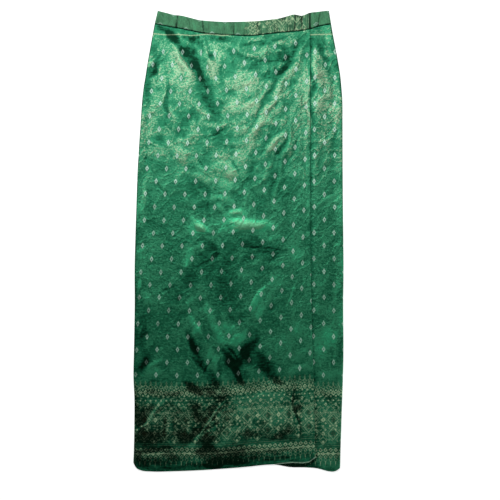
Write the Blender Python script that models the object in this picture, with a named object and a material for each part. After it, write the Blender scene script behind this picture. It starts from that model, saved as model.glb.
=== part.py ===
"""A wrap-front sinh, the long straight silk skirt, laid flat on a table with its waist towards +Y.

The cloth is cut as a back, a wrap front and an under front, sewn at the side seams and caught in a
waistband of three lengths. The front edge of the wrap lies loose on the under front.

Tables are in millimetres and the scene is in metres. X runs across, +Z is up, and the origin is the
middle of the underside.
"""

from collections import namedtuple
import math

import bmesh
import bpy
from mathutils import Vector

MM = 0.001

# Cloth walls and the gap left at every seam, in millimetres
PANEL_THICK = 1.0
BAND_THICK = 1.4
SEAM_GAP = 0.3

# Side seams: the height they lie at, and how far the cloth rolls over before it lies flat
SIDE_SEAM_Z = 2.3
SIDE_ROLL = 2.6
SIDE_LOFT = 1.9
SIDE_LOFT_REACH = 22.0

# The under front: its hidden free edge, how far left of it the wrap starts to drop, and how far it
# takes to settle on the back
UNDERLAP_EDGE = 10.0
SETTLE_START = 3.0
SETTLE_REACH = 42.0

# How far right of the wrap's edge the under front's folds and the waistband's puff grow in
UNDER_BARE_REACH = 16.0
BAND_BARE_REACH = 10.0

# Height that the front cloth floats at between folds, and how softly a trough comes to rest
FRONT_LOFT = 0.9
TROUGH_SOFTNESS = 0.5

# The last stretch below the waistband, where the panels rise to meet it
BAND_BLEND = 22.0

# Puff of the waistband between the creases pressed across it
BAND_PUFF = 1.1
BAND_CREASE_HALF = 7.0

# Cells across and along each piece; a waistband has its panel's cells across, so their seam runs even
ROLL_CELLS = 4
WRAP_CELLS = (30, 48)
UNDER_CELLS = (15, 34)
BACK_CELLS = (14, 22)
BAND_ROWS = 4

# Step along a sheet, as a share of it, that its normals are taken over
NORMAL_STEP = 0.002

CLOTH_GREEN = (0.035, 0.17, 0.09, 1.0)
BAND_GREEN = (0.07, 0.24, 0.12, 1.0)

Section = namedtuple("Section", "y left right")
Edge = namedtuple("Edge", "x y")
EdgeAt = namedtuple("EdgeAt", "y x")
Fold = namedtuple("Fold", "x1 y1 x2 y2 half_width height peak")
Crease = namedtuple("Crease", "x slant depth")

# The side seams, a row for each height from the hem to the top of the waistband
SIDES = (
    Section(-494.8, -225.7, 217.5),
    Section(-470, -225.5, 218.7),
    Section(-445, -224.7, 219.3),
    Section(-393, -223.8, 221.0),
    Section(-341, -223.6, 222.7),
    Section(-290, -225.7, 224.5),
    Section(-238, -224.7, 225.5),
    Section(-135, -223.0, 224.9),
    Section(-58, -223.2, 225.7),
    Section(20, -221.2, 225.0),
    Section(97, -218.7, 224.2),
    Section(149, -216.9, 223.9),
    Section(200, -213.9, 223.7),
    Section(252, -210.5, 223.5),
    Section(304, -206.8, 223.1),
    Section(329, -204.0, 221.2),
    Section(355, -199.7, 218.7),
    Section(381, -195.7, 214.6),
    Section(407, -191.1, 210.0),
    Section(441, -184.9, 203.4),
    Section(467, -180.0, 198.9),
    Section(494.8, -173.5, 194.3),
)

# Lower edges from left to right; the corners of the wrap are rounded
WRAP_HEM = (
    Edge(-226, -474),
    Edge(-221, -484.5),
    Edge(-211, -491.5),
    Edge(-187, -494.6),
    Edge(-136, -494.0),
    Edge(-67, -491.0),
    Edge(25, -483.6),
    Edge(52, -480.6),
    Edge(80, -478.7),
    Edge(111, -475.4),
    Edge(143, -475.4),
    Edge(152, -473.5),
    Edge(158, -469.3),
    Edge(166, -463.5),
)
UNDER_HEM = (
    Edge(8, -477.0),
    Edge(60, -478.5),
    Edge(80, -480.0),
    Edge(111, -485.4),
    Edge(143, -486.0),
    Edge(170, -488.2),
    Edge(194, -494.2),
    Edge(203, -494.8),
    Edge(212, -491.6),
    Edge(220, -485.0),
)
BACK_HEM = (
    Edge(-227, -468),
    Edge(-218, -482),
    Edge(-187, -489),
    Edge(-67, -487),
    Edge(25, -480),
    Edge(111, -474),
    Edge(170, -482),
    Edge(203, -490),
    Edge(221, -479),
)

# The free front edge of the wrap, from the hem to the waist
FRONT_EDGE = (
    EdgeAt(-464, 166.5),
    EdgeAt(-440, 164.5),
    EdgeAt(-390, 163.6),
    EdgeAt(-293, 161.3),
    EdgeAt(-234, 159.0),
    EdgeAt(-126, 156.7),
    EdgeAt(-19, 155.0),
    EdgeAt(239, 154.4),
    EdgeAt(495, 153.7),
)

# Waistband: its top edge, and the seam along its foot
BAND_TOP = (
    Edge(-173.5, 494.6),
    Edge(-156, 490.7),
    Edge(-139, 486.4),
    Edge(-121.5, 484.3),
    Edge(-104, 480.0),
    Edge(-87, 475.7),
    Edge(-70, 473.5),
    Edge(-35.5, 471.4),
    Edge(16, 471.4),
    Edge(50.5, 473.5),
    Edge(68, 475.7),
    Edge(85, 477.8),
    Edge(102, 482.1),
    Edge(119, 486.6),
    Edge(136.5, 484.3),
    Edge(153.7, 490.7),
    Edge(171, 492.8),
    Edge(188, 494.6),
    Edge(194.6, 494.8),
)
BAND_FOOT = (
    Edge(-182, 468.0),
    Edge(-122, 457.6),
    Edge(-70.5, 447.7),
    Edge(-33, 444.9),
    Edge(25, 442.6),
    Edge(83, 448.4),
    Edge(152, 456.3),
    Edge(175, 463.9),
    Edge(200, 467.3),
)

# Folds of the front, a row each: ridges have a height above zero, troughs one below it
FOLDS = (
    Fold(-145, 433, -89, 304, 17, 2.6, 0.30),
    Fold(-132, 439, -31, 263, 15, -1.8, 0.35),
    Fold(-68, 424, -46, 342, 15, 2.2, 0.50),
    Fold(-27, 347, 55, 329, 26, 2.2, 0.45),
    Fold(-23, 278, 38, 299, 17, 1.6, 0.50),
    Fold(-18, 411, 117, 424, 13, 2.2, 0.50),
    Fold(51, 385, 134, 400, 19, -1.4, 0.50),
    Fold(134, 396, 8, 168, 15, 2.4, 0.35),
    Fold(139, 394, 143, 153, 11, 1.5, 0.30),
    Fold(126, 265, 81, 114, 11, 1.6, 0.40),
    Fold(98, 243, 51, 170, 11, 1.8, 0.40),
    Fold(-147, 381, -171, 226, 11, -1.4, 0.50),
    Fold(-141, 239, -96, 282, 19, -1.4, 0.50),
    Fold(-48, 183, 3, 119, 19, 2.0, 0.50),
    Fold(-27, 41, 89, 37, 19, 2.2, 0.50),
    Fold(-109, 61, -53, 9, 13, 1.8, 0.60),
    Fold(-98, 20, -121, -73, 15, 1.4, 0.50),
    Fold(-76, -111, -3, -234, 24, 2.5, 0.70),
    Fold(-115, -122, -85, -212, 15, 2.0, 0.70),
    Fold(89, -36, -1, -234, 22, 2.5, 0.60),
    Fold(-113, -208, -66, -286, 13, -1.6, 0.50),
    Fold(-38, -230, 12, -309, 13, -1.7, 0.50),
    Fold(46, -206, -3, -253, 13, -1.6, 0.40),
    Fold(35, -234, 96, -309, 15, -1.8, 0.60),
    Fold(-68, -225, -18, -333, 15, 1.9, 0.50),
    Fold(-5, -337, 63, -311, 22, 1.9, 0.50),
    Fold(117, -307, 134, -423, 11, -1.8, 0.50),
    Fold(-117, -458, -27, -369, 13, 2.2, 0.40),
    Fold(-199, -402, -147, -335, 13, 1.6, 0.50),
    Fold(-23, -393, 25, -372, 19, 1.8, 0.50),
    Fold(160, 411, 190, 282, 15, 2.2, 0.40),
    Fold(212, 308, 199, 243, 13, 1.4, 0.50),
)

# Creases pressed across the waistband
BAND_CREASES = (
    Crease(-132, 3, 0.9),
    Crease(-76, -2, 1.0),
    Crease(-10, 1, 0.7),
    Crease(40, 2, 0.8),
    Crease(83, -2, 0.7),
    Crease(136, 0, 1.1),
    Crease(173, 6, 0.9),
)


def clear_scene():
    for obj in list(bpy.data.objects):
        bpy.data.objects.remove(obj, do_unlink=True)


def smooth_step(value):
    value = min(1.0, max(0.0, value))
    return value * value * (3.0 - 2.0 * value)


def curve_value(keys, values, at):
    """Smooth curve through (key, value) pairs, read at one key and held level past its ends."""
    if at <= keys[0]:
        return values[0]
    if at >= keys[-1]:
        return values[-1]
    i = max(k for k in range(len(keys) - 1) if keys[k] <= at)
    span = keys[i + 1] - keys[i]
    slope = (values[i + 1] - values[i]) / span
    before = slope if i == 0 else (values[i] - values[i - 1]) / (keys[i] - keys[i - 1])
    after = slope
    if i + 2 < len(keys):
        after = (values[i + 2] - values[i + 1]) / (keys[i + 2] - keys[i + 1])
    t = (at - keys[i]) / span
    start = 0.5 * (before + slope) * span
    end = 0.5 * (slope + after) * span
    rise = values[i + 1] - values[i]
    return values[i] + t * (start + t * (3 * rise - 2 * start - end + t * (start + end - 2 * rise)))


def edge_y(edge, x):
    return curve_value([row.x for row in edge], [row.y for row in edge], x)


def left_side(y):
    return curve_value([row.y for row in SIDES], [row.left for row in SIDES], y)


def right_side(y):
    return curve_value([row.y for row in SIDES], [row.right for row in SIDES], y)


def front_edge(y):
    return curve_value([row.y for row in FRONT_EDGE], [row.x for row in FRONT_EDGE], y)


def underlap_edge(_y):
    return UNDERLAP_EDGE


def bump(q):
    """A soft ridge across: 1 in the middle, 0 from one half width out."""
    return 0.5 + 0.5 * math.cos(math.pi * min(1.0, abs(q)))


def along_fold(t, peak):
    """How full a fold is along its length: 0 at both ends and 1 at its peak."""
    if t <= 0.0 or t >= 1.0:
        return 0.0
    share = 0.5 * t / peak if t < peak else 0.5 + 0.5 * (t - peak) / (1.0 - peak)
    return math.sin(math.pi * share)


def fold_height(x, y):
    """Sum of the folds at one place on the front."""
    total = 0.0
    for fold in FOLDS:
        dx = fold.x2 - fold.x1
        dy = fold.y2 - fold.y1
        length = math.hypot(dx, dy)
        t = ((x - fold.x1) * dx + (y - fold.y1) * dy) / length**2
        off = ((x - fold.x1) * dy - (y - fold.y1) * dx) / length
        if 0.0 < t < 1.0 and abs(off) < fold.half_width:
            total += fold.height * along_fold(t, fold.peak) * bump(off / fold.half_width)
    return total


def loose_height(x, y):
    """How far the front cloth stands off what it lies on; a trough flattens out as it lands."""
    fade = smooth_step((edge_y(BAND_FOOT, x) - y) / BAND_BLEND)
    lift = fade * (FRONT_LOFT + fold_height(x, y))
    return 0.5 * (lift + math.sqrt(lift**2 + (fade * TROUGH_SOFTNESS) ** 2))


def side_loft(distance):
    """Extra height near a side seam, where the cloth turns back on itself."""
    return SIDE_LOFT * (1.0 - smooth_step(distance / SIDE_LOFT_REACH))


def layer_z(layer, thick):
    """Middle height of a cloth lying flat as the first, second or third layer."""
    return layer * (thick + SEAM_GAP) + 0.5 * thick


def settled_z(x, thick):
    """Middle height of the wrap: on the under front, or settled on the back left of the underlap."""
    off = smooth_step((UNDERLAP_EDGE - SETTLE_START - x) / SETTLE_REACH)
    return layer_z(2, thick) + off * (layer_z(1, thick) - layer_z(2, thick))


def blended(x, y, panel_z, band_z):
    """A panel's middle height, rising to the waistband's over the last stretch under it."""
    share = smooth_step((edge_y(BAND_FOOT, x) - y) / BAND_BLEND)
    return band_z + share * (panel_z - band_z)


def wrap_z(x, y):
    flat = blended(x, y, settled_z(x, PANEL_THICK), settled_z(x, BAND_THICK))
    return flat + loose_height(x, y) + side_loft(x - left_side(y))


def under_z(x, y):
    bare = smooth_step((x - front_edge(y)) / UNDER_BARE_REACH)
    flat = blended(x, y, layer_z(1, PANEL_THICK), layer_z(1, BAND_THICK))
    return flat + bare * loose_height(x, y) + side_loft(right_side(y) - x)


def back_z(_x, _y):
    return layer_z(0, PANEL_THICK)


def band_puff(x, share):
    """Height of the waistband's puff, pinched at each crease and at both long edges."""
    pinch = sum(
        crease.depth * bump((x - crease.x - crease.slant * share) / BAND_CREASE_HALF)
        for crease in BAND_CREASES
    )
    return (BAND_PUFF - min(BAND_PUFF, pinch)) * math.sin(math.pi * share) ** 1.5


class Cloth:
    """A sheet between a left and a right edge and a lower and an upper one.

    Across the sheet, 0 to 1 is the roll at a left side seam, 1 to 2 the flat and 2 to 3 the roll at
    a right side seam; a free edge has no roll. Along it, 0 is the lower edge and 1 the upper one.
    """

    def __init__(self, left, right, lower, upper, height, thick, rolls, seam_z):
        self.left = left
        self.right = right
        self.lower = lower
        self.upper = upper
        self.height = height
        self.thick = thick
        self.rolls = rolls
        self.seam_z = seam_z

    def point(self, across, along):
        inset = 0.5 * self.thick
        y = 0.5 * (self.lower(0.0) + self.upper(0.0))
        for _ in range(3):
            left = self.left(y) + (inset if "left" in self.rolls else 0.0)
            right = self.right(y) - (inset if "right" in self.rolls else 0.0)
            flat_left = left + (SIDE_ROLL if "left" in self.rolls else 0.0)
            flat_right = right - (SIDE_ROLL if "right" in self.rolls else 0.0)
            turn = 0.5 * math.pi
            if across < 1.0:
                turn = 0.5 * math.pi * across
                x = left + SIDE_ROLL * (1.0 - math.cos(turn))
                top_x = flat_left
            elif across > 2.0:
                turn = 0.5 * math.pi * (3.0 - across)
                x = right - SIDE_ROLL * (1.0 - math.cos(turn))
                top_x = flat_right
            else:
                x = flat_left + (across - 1.0) * (flat_right - flat_left)
                top_x = x
            low = self.lower(x)
            y = low + along * (self.upper(x) - low)
        z = self.seam_z + (self.height(top_x, y) - self.seam_z) * math.sin(turn)
        return Vector((x, y, z))

    def normal(self, across, along):
        start, end = self.span()
        low_a, high_a = max(start, across - NORMAL_STEP), min(end, across + NORMAL_STEP)
        low_b, high_b = max(0.0, along - NORMAL_STEP), min(1.0, along + NORMAL_STEP)
        over = self.point(high_a, along) - self.point(low_a, along)
        up = self.point(across, high_b) - self.point(across, low_b)
        return over.cross(up).normalized()

    def span(self):
        return (0.0 if "left" in self.rolls else 1.0), (3.0 if "right" in self.rolls else 2.0)

    def places(self, cells):
        """Places across, with the rolls in cells of their own."""
        start, end = self.span()
        places = [i / ROLL_CELLS for i in range(ROLL_CELLS)] if start == 0.0 else []
        places += [1.0 + i / cells for i in range(cells + 1)]
        if end == 3.0:
            places += [2.0 + (i + 1) / ROLL_CELLS for i in range(ROLL_CELLS)]
        return places


def build_sheet(name, cloth, cells, material):
    """A closed wall: the sheet's points moved out by half its thickness on both sides."""
    across = cloth.places(cells[0])
    along = [i / cells[1] for i in range(cells[1] + 1)]
    mesh = bmesh.new()
    faces = []
    for side in (1.0, -1.0):
        layer = []
        for b in along:
            row = []
            for a in across:
                place = cloth.point(a, b) + cloth.normal(a, b) * (0.5 * side * cloth.thick)
                row.append(mesh.verts.new(place * MM))
            layer.append(row)
        faces.append(layer)
    upper, lower = faces
    for j in range(len(along) - 1):
        for i in range(len(across) - 1):
            mesh.faces.new((upper[j][i], upper[j][i + 1], upper[j + 1][i + 1], upper[j + 1][i]))
            mesh.faces.new((lower[j + 1][i], lower[j + 1][i + 1], lower[j][i + 1], lower[j][i]))
    upper_rim = rim(upper)
    lower_rim = rim(lower)
    for k in range(len(upper_rim)):
        nxt = (k + 1) % len(upper_rim)
        mesh.faces.new((upper_rim[nxt], upper_rim[k], lower_rim[k], lower_rim[nxt]))
    mesh.normal_update()
    data = bpy.data.meshes.new(name)
    mesh.to_mesh(data)
    mesh.free()
    data.shade_smooth()
    data.set_sharp_from_angle(angle=math.radians(50))
    data.materials.append(material)
    obj = bpy.data.objects.new(name, data)
    bpy.context.scene.collection.objects.link(obj)
    return obj


def rim(layer):
    """The outer ring of a grid of points, anticlockwise from its lower left corner."""
    ring = list(layer[0])
    ring += [row[-1] for row in layer[1:]]
    ring += layer[-1][-2::-1]
    ring += [row[0] for row in layer[-2:0:-1]]
    return ring


def cloth_material(name, colour, roughness):
    material = bpy.data.materials.new(name)
    material.use_nodes = True
    shader = material.node_tree.nodes["Principled BSDF"]
    shader.inputs["Base Color"].default_value = colour
    shader.inputs["Roughness"].default_value = roughness
    shader.inputs["Metallic"].default_value = 0.0
    material.diffuse_color = colour
    return material


def panel_top(x):
    return edge_y(BAND_FOOT, x) - 0.5 * SEAM_GAP


def band_foot(x):
    return edge_y(BAND_FOOT, x) + 0.5 * SEAM_GAP


def band_top(x):
    return edge_y(BAND_TOP, x)


def band_share(x, y):
    foot = band_foot(x)
    return min(1.0, max(0.0, (y - foot) / (band_top(x) - foot)))


def build_panels(material):
    front_seam = SIDE_SEAM_Z + 0.5 * SEAM_GAP
    back_seam = SIDE_SEAM_Z - 0.5 * SEAM_GAP
    wrap = Cloth(
        left_side, front_edge, lambda x: edge_y(WRAP_HEM, x), panel_top,
        wrap_z, PANEL_THICK, ("left",), front_seam,
    )
    under = Cloth(
        underlap_edge, right_side, lambda x: edge_y(UNDER_HEM, x), panel_top,
        under_z, PANEL_THICK, ("right",), front_seam,
    )
    back = Cloth(
        left_side, right_side, lambda x: edge_y(BACK_HEM, x), panel_top,
        back_z, PANEL_THICK, ("left", "right"), back_seam,
    )
    build_sheet("wrap_front", wrap, WRAP_CELLS, material)
    build_sheet("under_front", under, UNDER_CELLS, material)
    build_sheet("back", back, BACK_CELLS, material)


def build_waistband(material):
    """The waistband over the wrap, over the under front and across the back."""
    front_seam = SIDE_SEAM_Z + 0.5 * SEAM_GAP
    back_seam = SIDE_SEAM_Z - 0.5 * SEAM_GAP

    def wrap_band_z(x, y):
        puff = band_puff(x, band_share(x, y))
        return settled_z(x, BAND_THICK) + puff + side_loft(x - left_side(y))

    def under_band_z(x, y):
        bare = smooth_step((x - front_edge(y)) / BAND_BARE_REACH)
        puff = bare * band_puff(x, band_share(x, y))
        return layer_z(1, BAND_THICK) + puff + side_loft(right_side(y) - x)

    def back_band_z(_x, _y):
        return layer_z(0, BAND_THICK)

    wrap = Cloth(
        left_side, front_edge, band_foot, band_top,
        wrap_band_z, BAND_THICK, ("left",), front_seam,
    )
    under = Cloth(
        underlap_edge, right_side, band_foot, band_top,
        under_band_z, BAND_THICK, ("right",), front_seam,
    )
    back = Cloth(
        left_side, right_side, band_foot, band_top,
        back_band_z, BAND_THICK, ("left", "right"), back_seam,
    )
    build_sheet("waistband_wrap", wrap, (WRAP_CELLS[0], BAND_ROWS), material)
    build_sheet("waistband_under", under, (UNDER_CELLS[0], BAND_ROWS), material)
    build_sheet("waistband_back", back, (BACK_CELLS[0], BAND_ROWS), material)


def main():
    clear_scene()
    build_panels(cloth_material("green silk brocade", CLOTH_GREEN, 0.42))
    build_waistband(cloth_material("green silk brocade, waistband", BAND_GREEN, 0.6))


main()
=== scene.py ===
"""Looks of a wrap-front sinh laid flat: silk brocade panels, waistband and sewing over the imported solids.

Laid out as a Blender add-on and run as a script. Tables are in millimetres in the frame's own axes:
X across, +Y from the hem to the waist, +Z up from the surface that the skirt lies on. Cloth coordinates
are millimetres too: u runs across the loom's repeat and v up from the middle of the skirt.
"""

from collections import namedtuple
import math

import bpy
import numpy as np
from bpy.props import FloatProperty, FloatVectorProperty, PointerProperty
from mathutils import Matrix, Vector


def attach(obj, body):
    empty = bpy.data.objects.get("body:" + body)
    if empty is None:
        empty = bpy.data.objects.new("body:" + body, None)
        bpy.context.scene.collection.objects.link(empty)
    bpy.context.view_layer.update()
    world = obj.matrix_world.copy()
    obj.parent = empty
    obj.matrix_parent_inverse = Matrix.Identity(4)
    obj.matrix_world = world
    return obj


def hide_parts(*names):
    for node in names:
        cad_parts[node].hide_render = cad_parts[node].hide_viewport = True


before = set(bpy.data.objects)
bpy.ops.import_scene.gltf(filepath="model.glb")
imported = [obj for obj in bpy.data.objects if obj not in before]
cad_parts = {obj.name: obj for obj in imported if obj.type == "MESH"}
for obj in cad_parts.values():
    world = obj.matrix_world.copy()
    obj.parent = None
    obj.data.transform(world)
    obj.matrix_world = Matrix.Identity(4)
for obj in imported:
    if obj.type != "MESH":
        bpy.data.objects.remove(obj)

bl_info = {
    "name": "Sinh skirt laid flat",
    "version": (1, 0, 0),
    "blender": (4, 5, 0),
    "location": "3D View > Sidebar > Sinh",
    "description": "Dresses the packed skirt in silk brocade and sets its stage",
    "category": "Object",
}

MM = 0.001

# The layers as they lie in the solids: walls of the panels and of the waistband, and the gap between
PANEL_WALL = 1.0
BAND_WALL = 1.4
LAYER_GAP = 0.3

# Side seams: their height, the roll of the cloth there and the loft beside it
SIDE_SEAM_Z = 2.3
SIDE_ROLL = 2.4
SIDE_LOFT = 1.9
SIDE_LOFT_REACH = 22.0
SEAM_HALF_GAP = 0.12

# The under front's hidden edge, and how the wrap settles off it
UNDERLAP_EDGE = 10.0
SETTLE_START = 3.0
SETTLE_REACH = 42.0

# Free height of the front cloth between its folds
FRONT_LOFT = 0.9
TROUGH_SOFTNESS = 0.5
BAND_BLEND = 22.0
BAND_PUFF = 1.1
PATCH_RISE = 0.7

# How far folds and patches wander off their rows, and how far apart the bends of that wandering are
FOLD_WANDER = 3.2
FOLD_WANDER_SPACING = 60.0
PATCH_WANDER = 4.0
PATCH_WANDER_SPACING = 45.0

# Crumpled facets, large and small, the half sizes of the field they fill, how far each is shifted off its
# row, how far it reaches and the most it counts, all three in spacings, and the height of the small ones
# against the large. Then the fine creases scattered over the front.
FACET_SPACING = 34.0
SMALL_FACET_SPACING = 15.0
FACET_MIDDLE = 0.45
FACET_FIELD = (260.0, 520.0)
FACET_SHIFT = 0.45
FACET_REACH = 1.6
FACET_CAP = 1.2
SMALL_FACET_SHARE = 0.35
HAIR_COUNT = 620
HAIR_HALF_WIDE = 2.1

# What the throw of the fine creases draws from: places, lengths, the mean and spread of their turn in
# degrees, their bow as a share of their length, and heights
HAIR_X = (-220.0, 225.0)
HAIR_Y = (-480.0, 450.0)
HAIR_LENGTH = (16.0, 80.0)
HAIR_TURN = (62.0, 30.0)
HAIR_BOW = 0.10
HAIR_HEIGHT = (-0.55, 0.60)

# The cloth near the hem is calm: its share of the crumple, where it ends and how far on it is all there
CALM_SHARE = 0.18
CALM_END = -220.0
CALM_REACH = 500.0

# How strongly the crumple, the long waves and the fine creases show in the painted light, and how dark the
# painted shadow along the waistband's foot is
CRUMPLE_TONE = 0.35
WAVE_TONE = 0.2
HAIR_TONE = 0.95
SEAM_SHADE_TONE = 1.4

# How far the painted shadow reaches in from the waistband's foot and along the wrap's end of it
SEAM_SHADE_REACH = 3.5

# Seeds of the random throws, one for each use
FOLD_SEEDS = (11, 12)
PATCH_SEEDS = (13, 14)
FACET_SEED = 21
SMALL_FACET_SEED = 22
HAIR_SEED = 23
FRONT_TONE_SEED = 24
BACK_TONE_SEED = 25
BAND_PUFF_SEED = 31
BAND_TONE_SEED = 32
WRAP_UV_SEEDS = (41, 42, 47)
UNDER_UV_SEEDS = (43, 44)
BACK_UV_SEEDS = (45, 46)

# Cloth that the long dark fold takes up near the waist: how much, from which height and over how far,
# and across from the fold's left side, with a steep start, to the wrap's free edge
TAKEN_UP = 14.0
TAKEN_UP_FROM = 262.0
TAKEN_UP_REACH = 150.0
TAKEN_UP_LEFT = -86.0
TAKEN_UP_START = 30.0
TAKEN_UP_RIGHT = 160.0
TAKEN_UP_FADE = 165.0

# How far the fold drags the weft down beside it, about which place, and how wide and tall that is
DRAGGED = 7.0
DRAGGED_AT = (-52.0, 388.0)
DRAGGED_SIZE = (45.0, 30.0)

# How far the columns lean back to the right beside the left seam near the hem: most at the hem and at
# the seam, and nothing above and right of these places
LEAN_BACK = 6.5
LEAN_BACK_TOP = -200.0
LEAN_BACK_TALL = 190.0
LEAN_BACK_RIGHT = 117.0
LEAN_BACK_WIDE = 300.0

# Where the weft's rise of the border passes into that of the field, and where the waist's sway begins
BORDER_RISE_TOP = -330.0
RISE_BLEND = 120.0
WAIST_SWAY_FROM = 380.0
WAIST_SWAY_BLEND = 50.0

# The wrap's free edge stands off the under front between two heights of its upper part, which it rises
# into and falls out of softly, and at its corner on the hem from a place across
EDGE_LIFT = 2.4
EDGE_LIFT_REACH = 16.0
EDGE_LIFT_FROM = 215.0
EDGE_LIFT_RISE = 60.0
EDGE_LIFT_TO = 425.0
EDGE_LIFT_FALL = 50.0
CORNER_LIFT = 2.6
CORNER_LIFT_REACH = 16.0
CORNER_LIFT_FROM = 60.0
CORNER_LIFT_RISE = 40.0

# Grid steps of the cloth that shows, of the cloth hidden under the wrap, of the back and of the
# waistband, the cells over a rolled seam, and the finer steps in from a free edge
SHOWN_STEP = 3.05
HIDDEN_STEP = 11.0
BACK_STEP = 5.0
BAND_STEP = 1.6
BAND_RISE_STEP = 1.4
ROLL_CELLS = 7
EDGE_ROUNDS = 4
EDGE_STEPS = (0.0, 0.25, 0.7, 1.5)

# Sizes that the grids are spaced out over: the panels, the part of the under front that is hidden, and
# the waistband
WRAP_WIDE = 378.0
UNDER_WIDE = 212.0
HIDDEN_WIDE = 135.0
BACK_WIDE = 440.0
PANEL_TALL = 940.0
UNDER_TALL = 945.0
BAND_TALL = 28.0

# Where the cloth is doubled: the turned hem, the turned free edge and the fold along the waistband
HEM_TURN = 7.0
EDGE_TURN = 6.0
BAND_TURN = 0.5

# How much thicker the cloth is there, how soon it thins again, and how its rim is rounded off
HEM_DOUBLING = 0.9
HEM_STEP = 1.5
RIM_ROUND = 0.7
RIM_THICK = 0.2

# The loom's repeat: columns of small lozenges, each second column half a repeat lower. Then the hem
# border, the woven lines and the ribs.
COLUMN_PITCH = 43.07
COLUMN_START = -184.5
ROW_PITCH = 55.6
ROW_START = 73.5
MOTIF_HALF_WIDE = 4.2
MOTIF_HALF_TALL = 7.4
HEM_V = -494.0
BORDER_TALL = 190.0
FIELD_TOP_V = 424.0
WOVEN_LINE_V = 444.0
HEM_LINE = 37.5
HEM_DASH_PITCH = 5.385
FAINT_LINE_PITCH = 4.2
RIB_PITCH = 0.9

# The waistband is cut across the cloth: where its two strips lie on it
BAND_V = -289.0
UNDER_BAND_V = 17.6
UNDER_BAND_TALL = 28.0
UNDER_BAND_SHIFT = 0.17

# The creases of the crushed silk run on a slant across the weave
SLANT_LONG = 0.82
SLANT_SHORT = 0.57

# Brown cores of the border's large lozenges
DARK_BROWN = (0.028, 0.030, 0.014)

# The under front's warp: its lean for each millimetre of height, and how far it is shifted across
UNDER_LEAN = 0.005
UNDER_SHIFT = -2.2

# What the photograph's frame takes in on the surface, in metres
FRAME_WIDE = 1.075
FRAME_MIDDLE = (0.0247, -0.0189)

Section = namedtuple("Section", "y left right")
Edge = namedtuple("Edge", "x y")
EdgeAt = namedtuple("EdgeAt", "y x")
Lean = namedtuple("Lean", "x slope")
Noise = namedtuple("Noise", "size_u size_v detail seed")
Band = namedtuple("Band", "name left right form uv rolls seam_z length rests_on")
Lamp = namedtuple("Lamp", "name place aim size share")
Fold = namedtuple("Fold", "x1 y1 x2 y2 half_width height tone bow peak", defaults=(0, 0.5))
Crease = namedtuple("Crease", "x slant half_width depth")
Figure = namedtuple("Figure", "centre pitch shift half_wide half_tall hollow weight")
Patch = namedtuple("Patch", "x y half_long half_wide tone turn", defaults=(0,))

# Outline of the solids: the side seams by height, the hems, the wrap's free edge and the waistband
SIDES = (
    Section(-494.8, -225.7, 217.5),
    Section(-470, -225.5, 218.7),
    Section(-445, -224.7, 219.3),
    Section(-393, -223.8, 221.0),
    Section(-341, -223.6, 222.7),
    Section(-290, -225.7, 224.5),
    Section(-238, -224.7, 225.5),
    Section(-135, -223.0, 224.9),
    Section(-58, -223.2, 225.7),
    Section(20, -221.2, 225.0),
    Section(97, -218.7, 224.2),
    Section(149, -216.9, 223.9),
    Section(200, -213.9, 223.7),
    Section(252, -210.5, 223.5),
    Section(304, -206.8, 223.1),
    Section(329, -204.0, 221.2),
    Section(355, -199.7, 218.7),
    Section(381, -195.7, 214.6),
    Section(407, -191.1, 210.0),
    Section(441, -184.9, 203.4),
    Section(467, -180.0, 198.9),
    Section(494.8, -173.5, 194.3),
)
WRAP_HEM = (
    Edge(-226, -474),
    Edge(-221, -484.5),
    Edge(-211, -491.5),
    Edge(-187, -494.6),
    Edge(-136, -494.0),
    Edge(-67, -491.0),
    Edge(25, -483.6),
    Edge(52, -480.6),
    Edge(80, -478.7),
    Edge(111, -475.4),
    Edge(143, -475.4),
    Edge(152, -473.5),
    Edge(158, -469.3),
    Edge(166, -463.5),
)
UNDER_HEM = (
    Edge(8, -477.0),
    Edge(60, -478.5),
    Edge(80, -480.0),
    Edge(111, -485.4),
    Edge(143, -486.0),
    Edge(170, -488.2),
    Edge(194, -494.2),
    Edge(203, -494.8),
    Edge(212, -491.6),
    Edge(220, -485.0),
)
BACK_HEM = (
    Edge(-227, -468),
    Edge(-218, -482),
    Edge(-187, -489),
    Edge(-67, -487),
    Edge(25, -480),
    Edge(111, -474),
    Edge(170, -482),
    Edge(203, -490),
    Edge(221, -479),
)
FRONT_EDGE = (
    EdgeAt(-464, 166.5),
    EdgeAt(-440, 164.5),
    EdgeAt(-390, 163.6),
    EdgeAt(-293, 161.3),
    EdgeAt(-234, 159.0),
    EdgeAt(-126, 156.7),
    EdgeAt(-19, 155.0),
    EdgeAt(239, 154.4),
    EdgeAt(495, 153.7),
)
BAND_TOP = (
    Edge(-173.5, 494.6),
    Edge(-156, 490.7),
    Edge(-139, 486.4),
    Edge(-121.5, 484.3),
    Edge(-104, 480.0),
    Edge(-87, 475.7),
    Edge(-70, 473.5),
    Edge(-35.5, 471.4),
    Edge(16, 471.4),
    Edge(50.5, 473.5),
    Edge(68, 475.7),
    Edge(85, 477.8),
    Edge(102, 482.1),
    Edge(119, 486.6),
    Edge(136.5, 484.3),
    Edge(153.7, 490.7),
    Edge(171, 492.8),
    Edge(188, 494.6),
    Edge(194.6, 494.8),
)
BAND_FOOT = (
    Edge(-182, 468.0),
    Edge(-122, 457.6),
    Edge(-70.5, 447.7),
    Edge(-33, 444.9),
    Edge(25, 442.6),
    Edge(83, 448.4),
    Edge(152, 456.3),
    Edge(175, 463.9),
    Edge(200, 467.3),
)

# How far the columns of the wrap lean for each millimetre of height, at its left and its right
WRAP_LEAN = (
    Lean(-184.0, 0.0585),
    Lean(117.0, 0.0237),
)

# How far the weft rises above level across the wrap
WEFT_RISE = (
    Edge(-226, 0.0),
    Edge(-53, 0.0),
    Edge(32, 5.2),
    Edge(76, 11.4),
    Edge(119, 17.0),
    Edge(166, 22.0),
)

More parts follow.
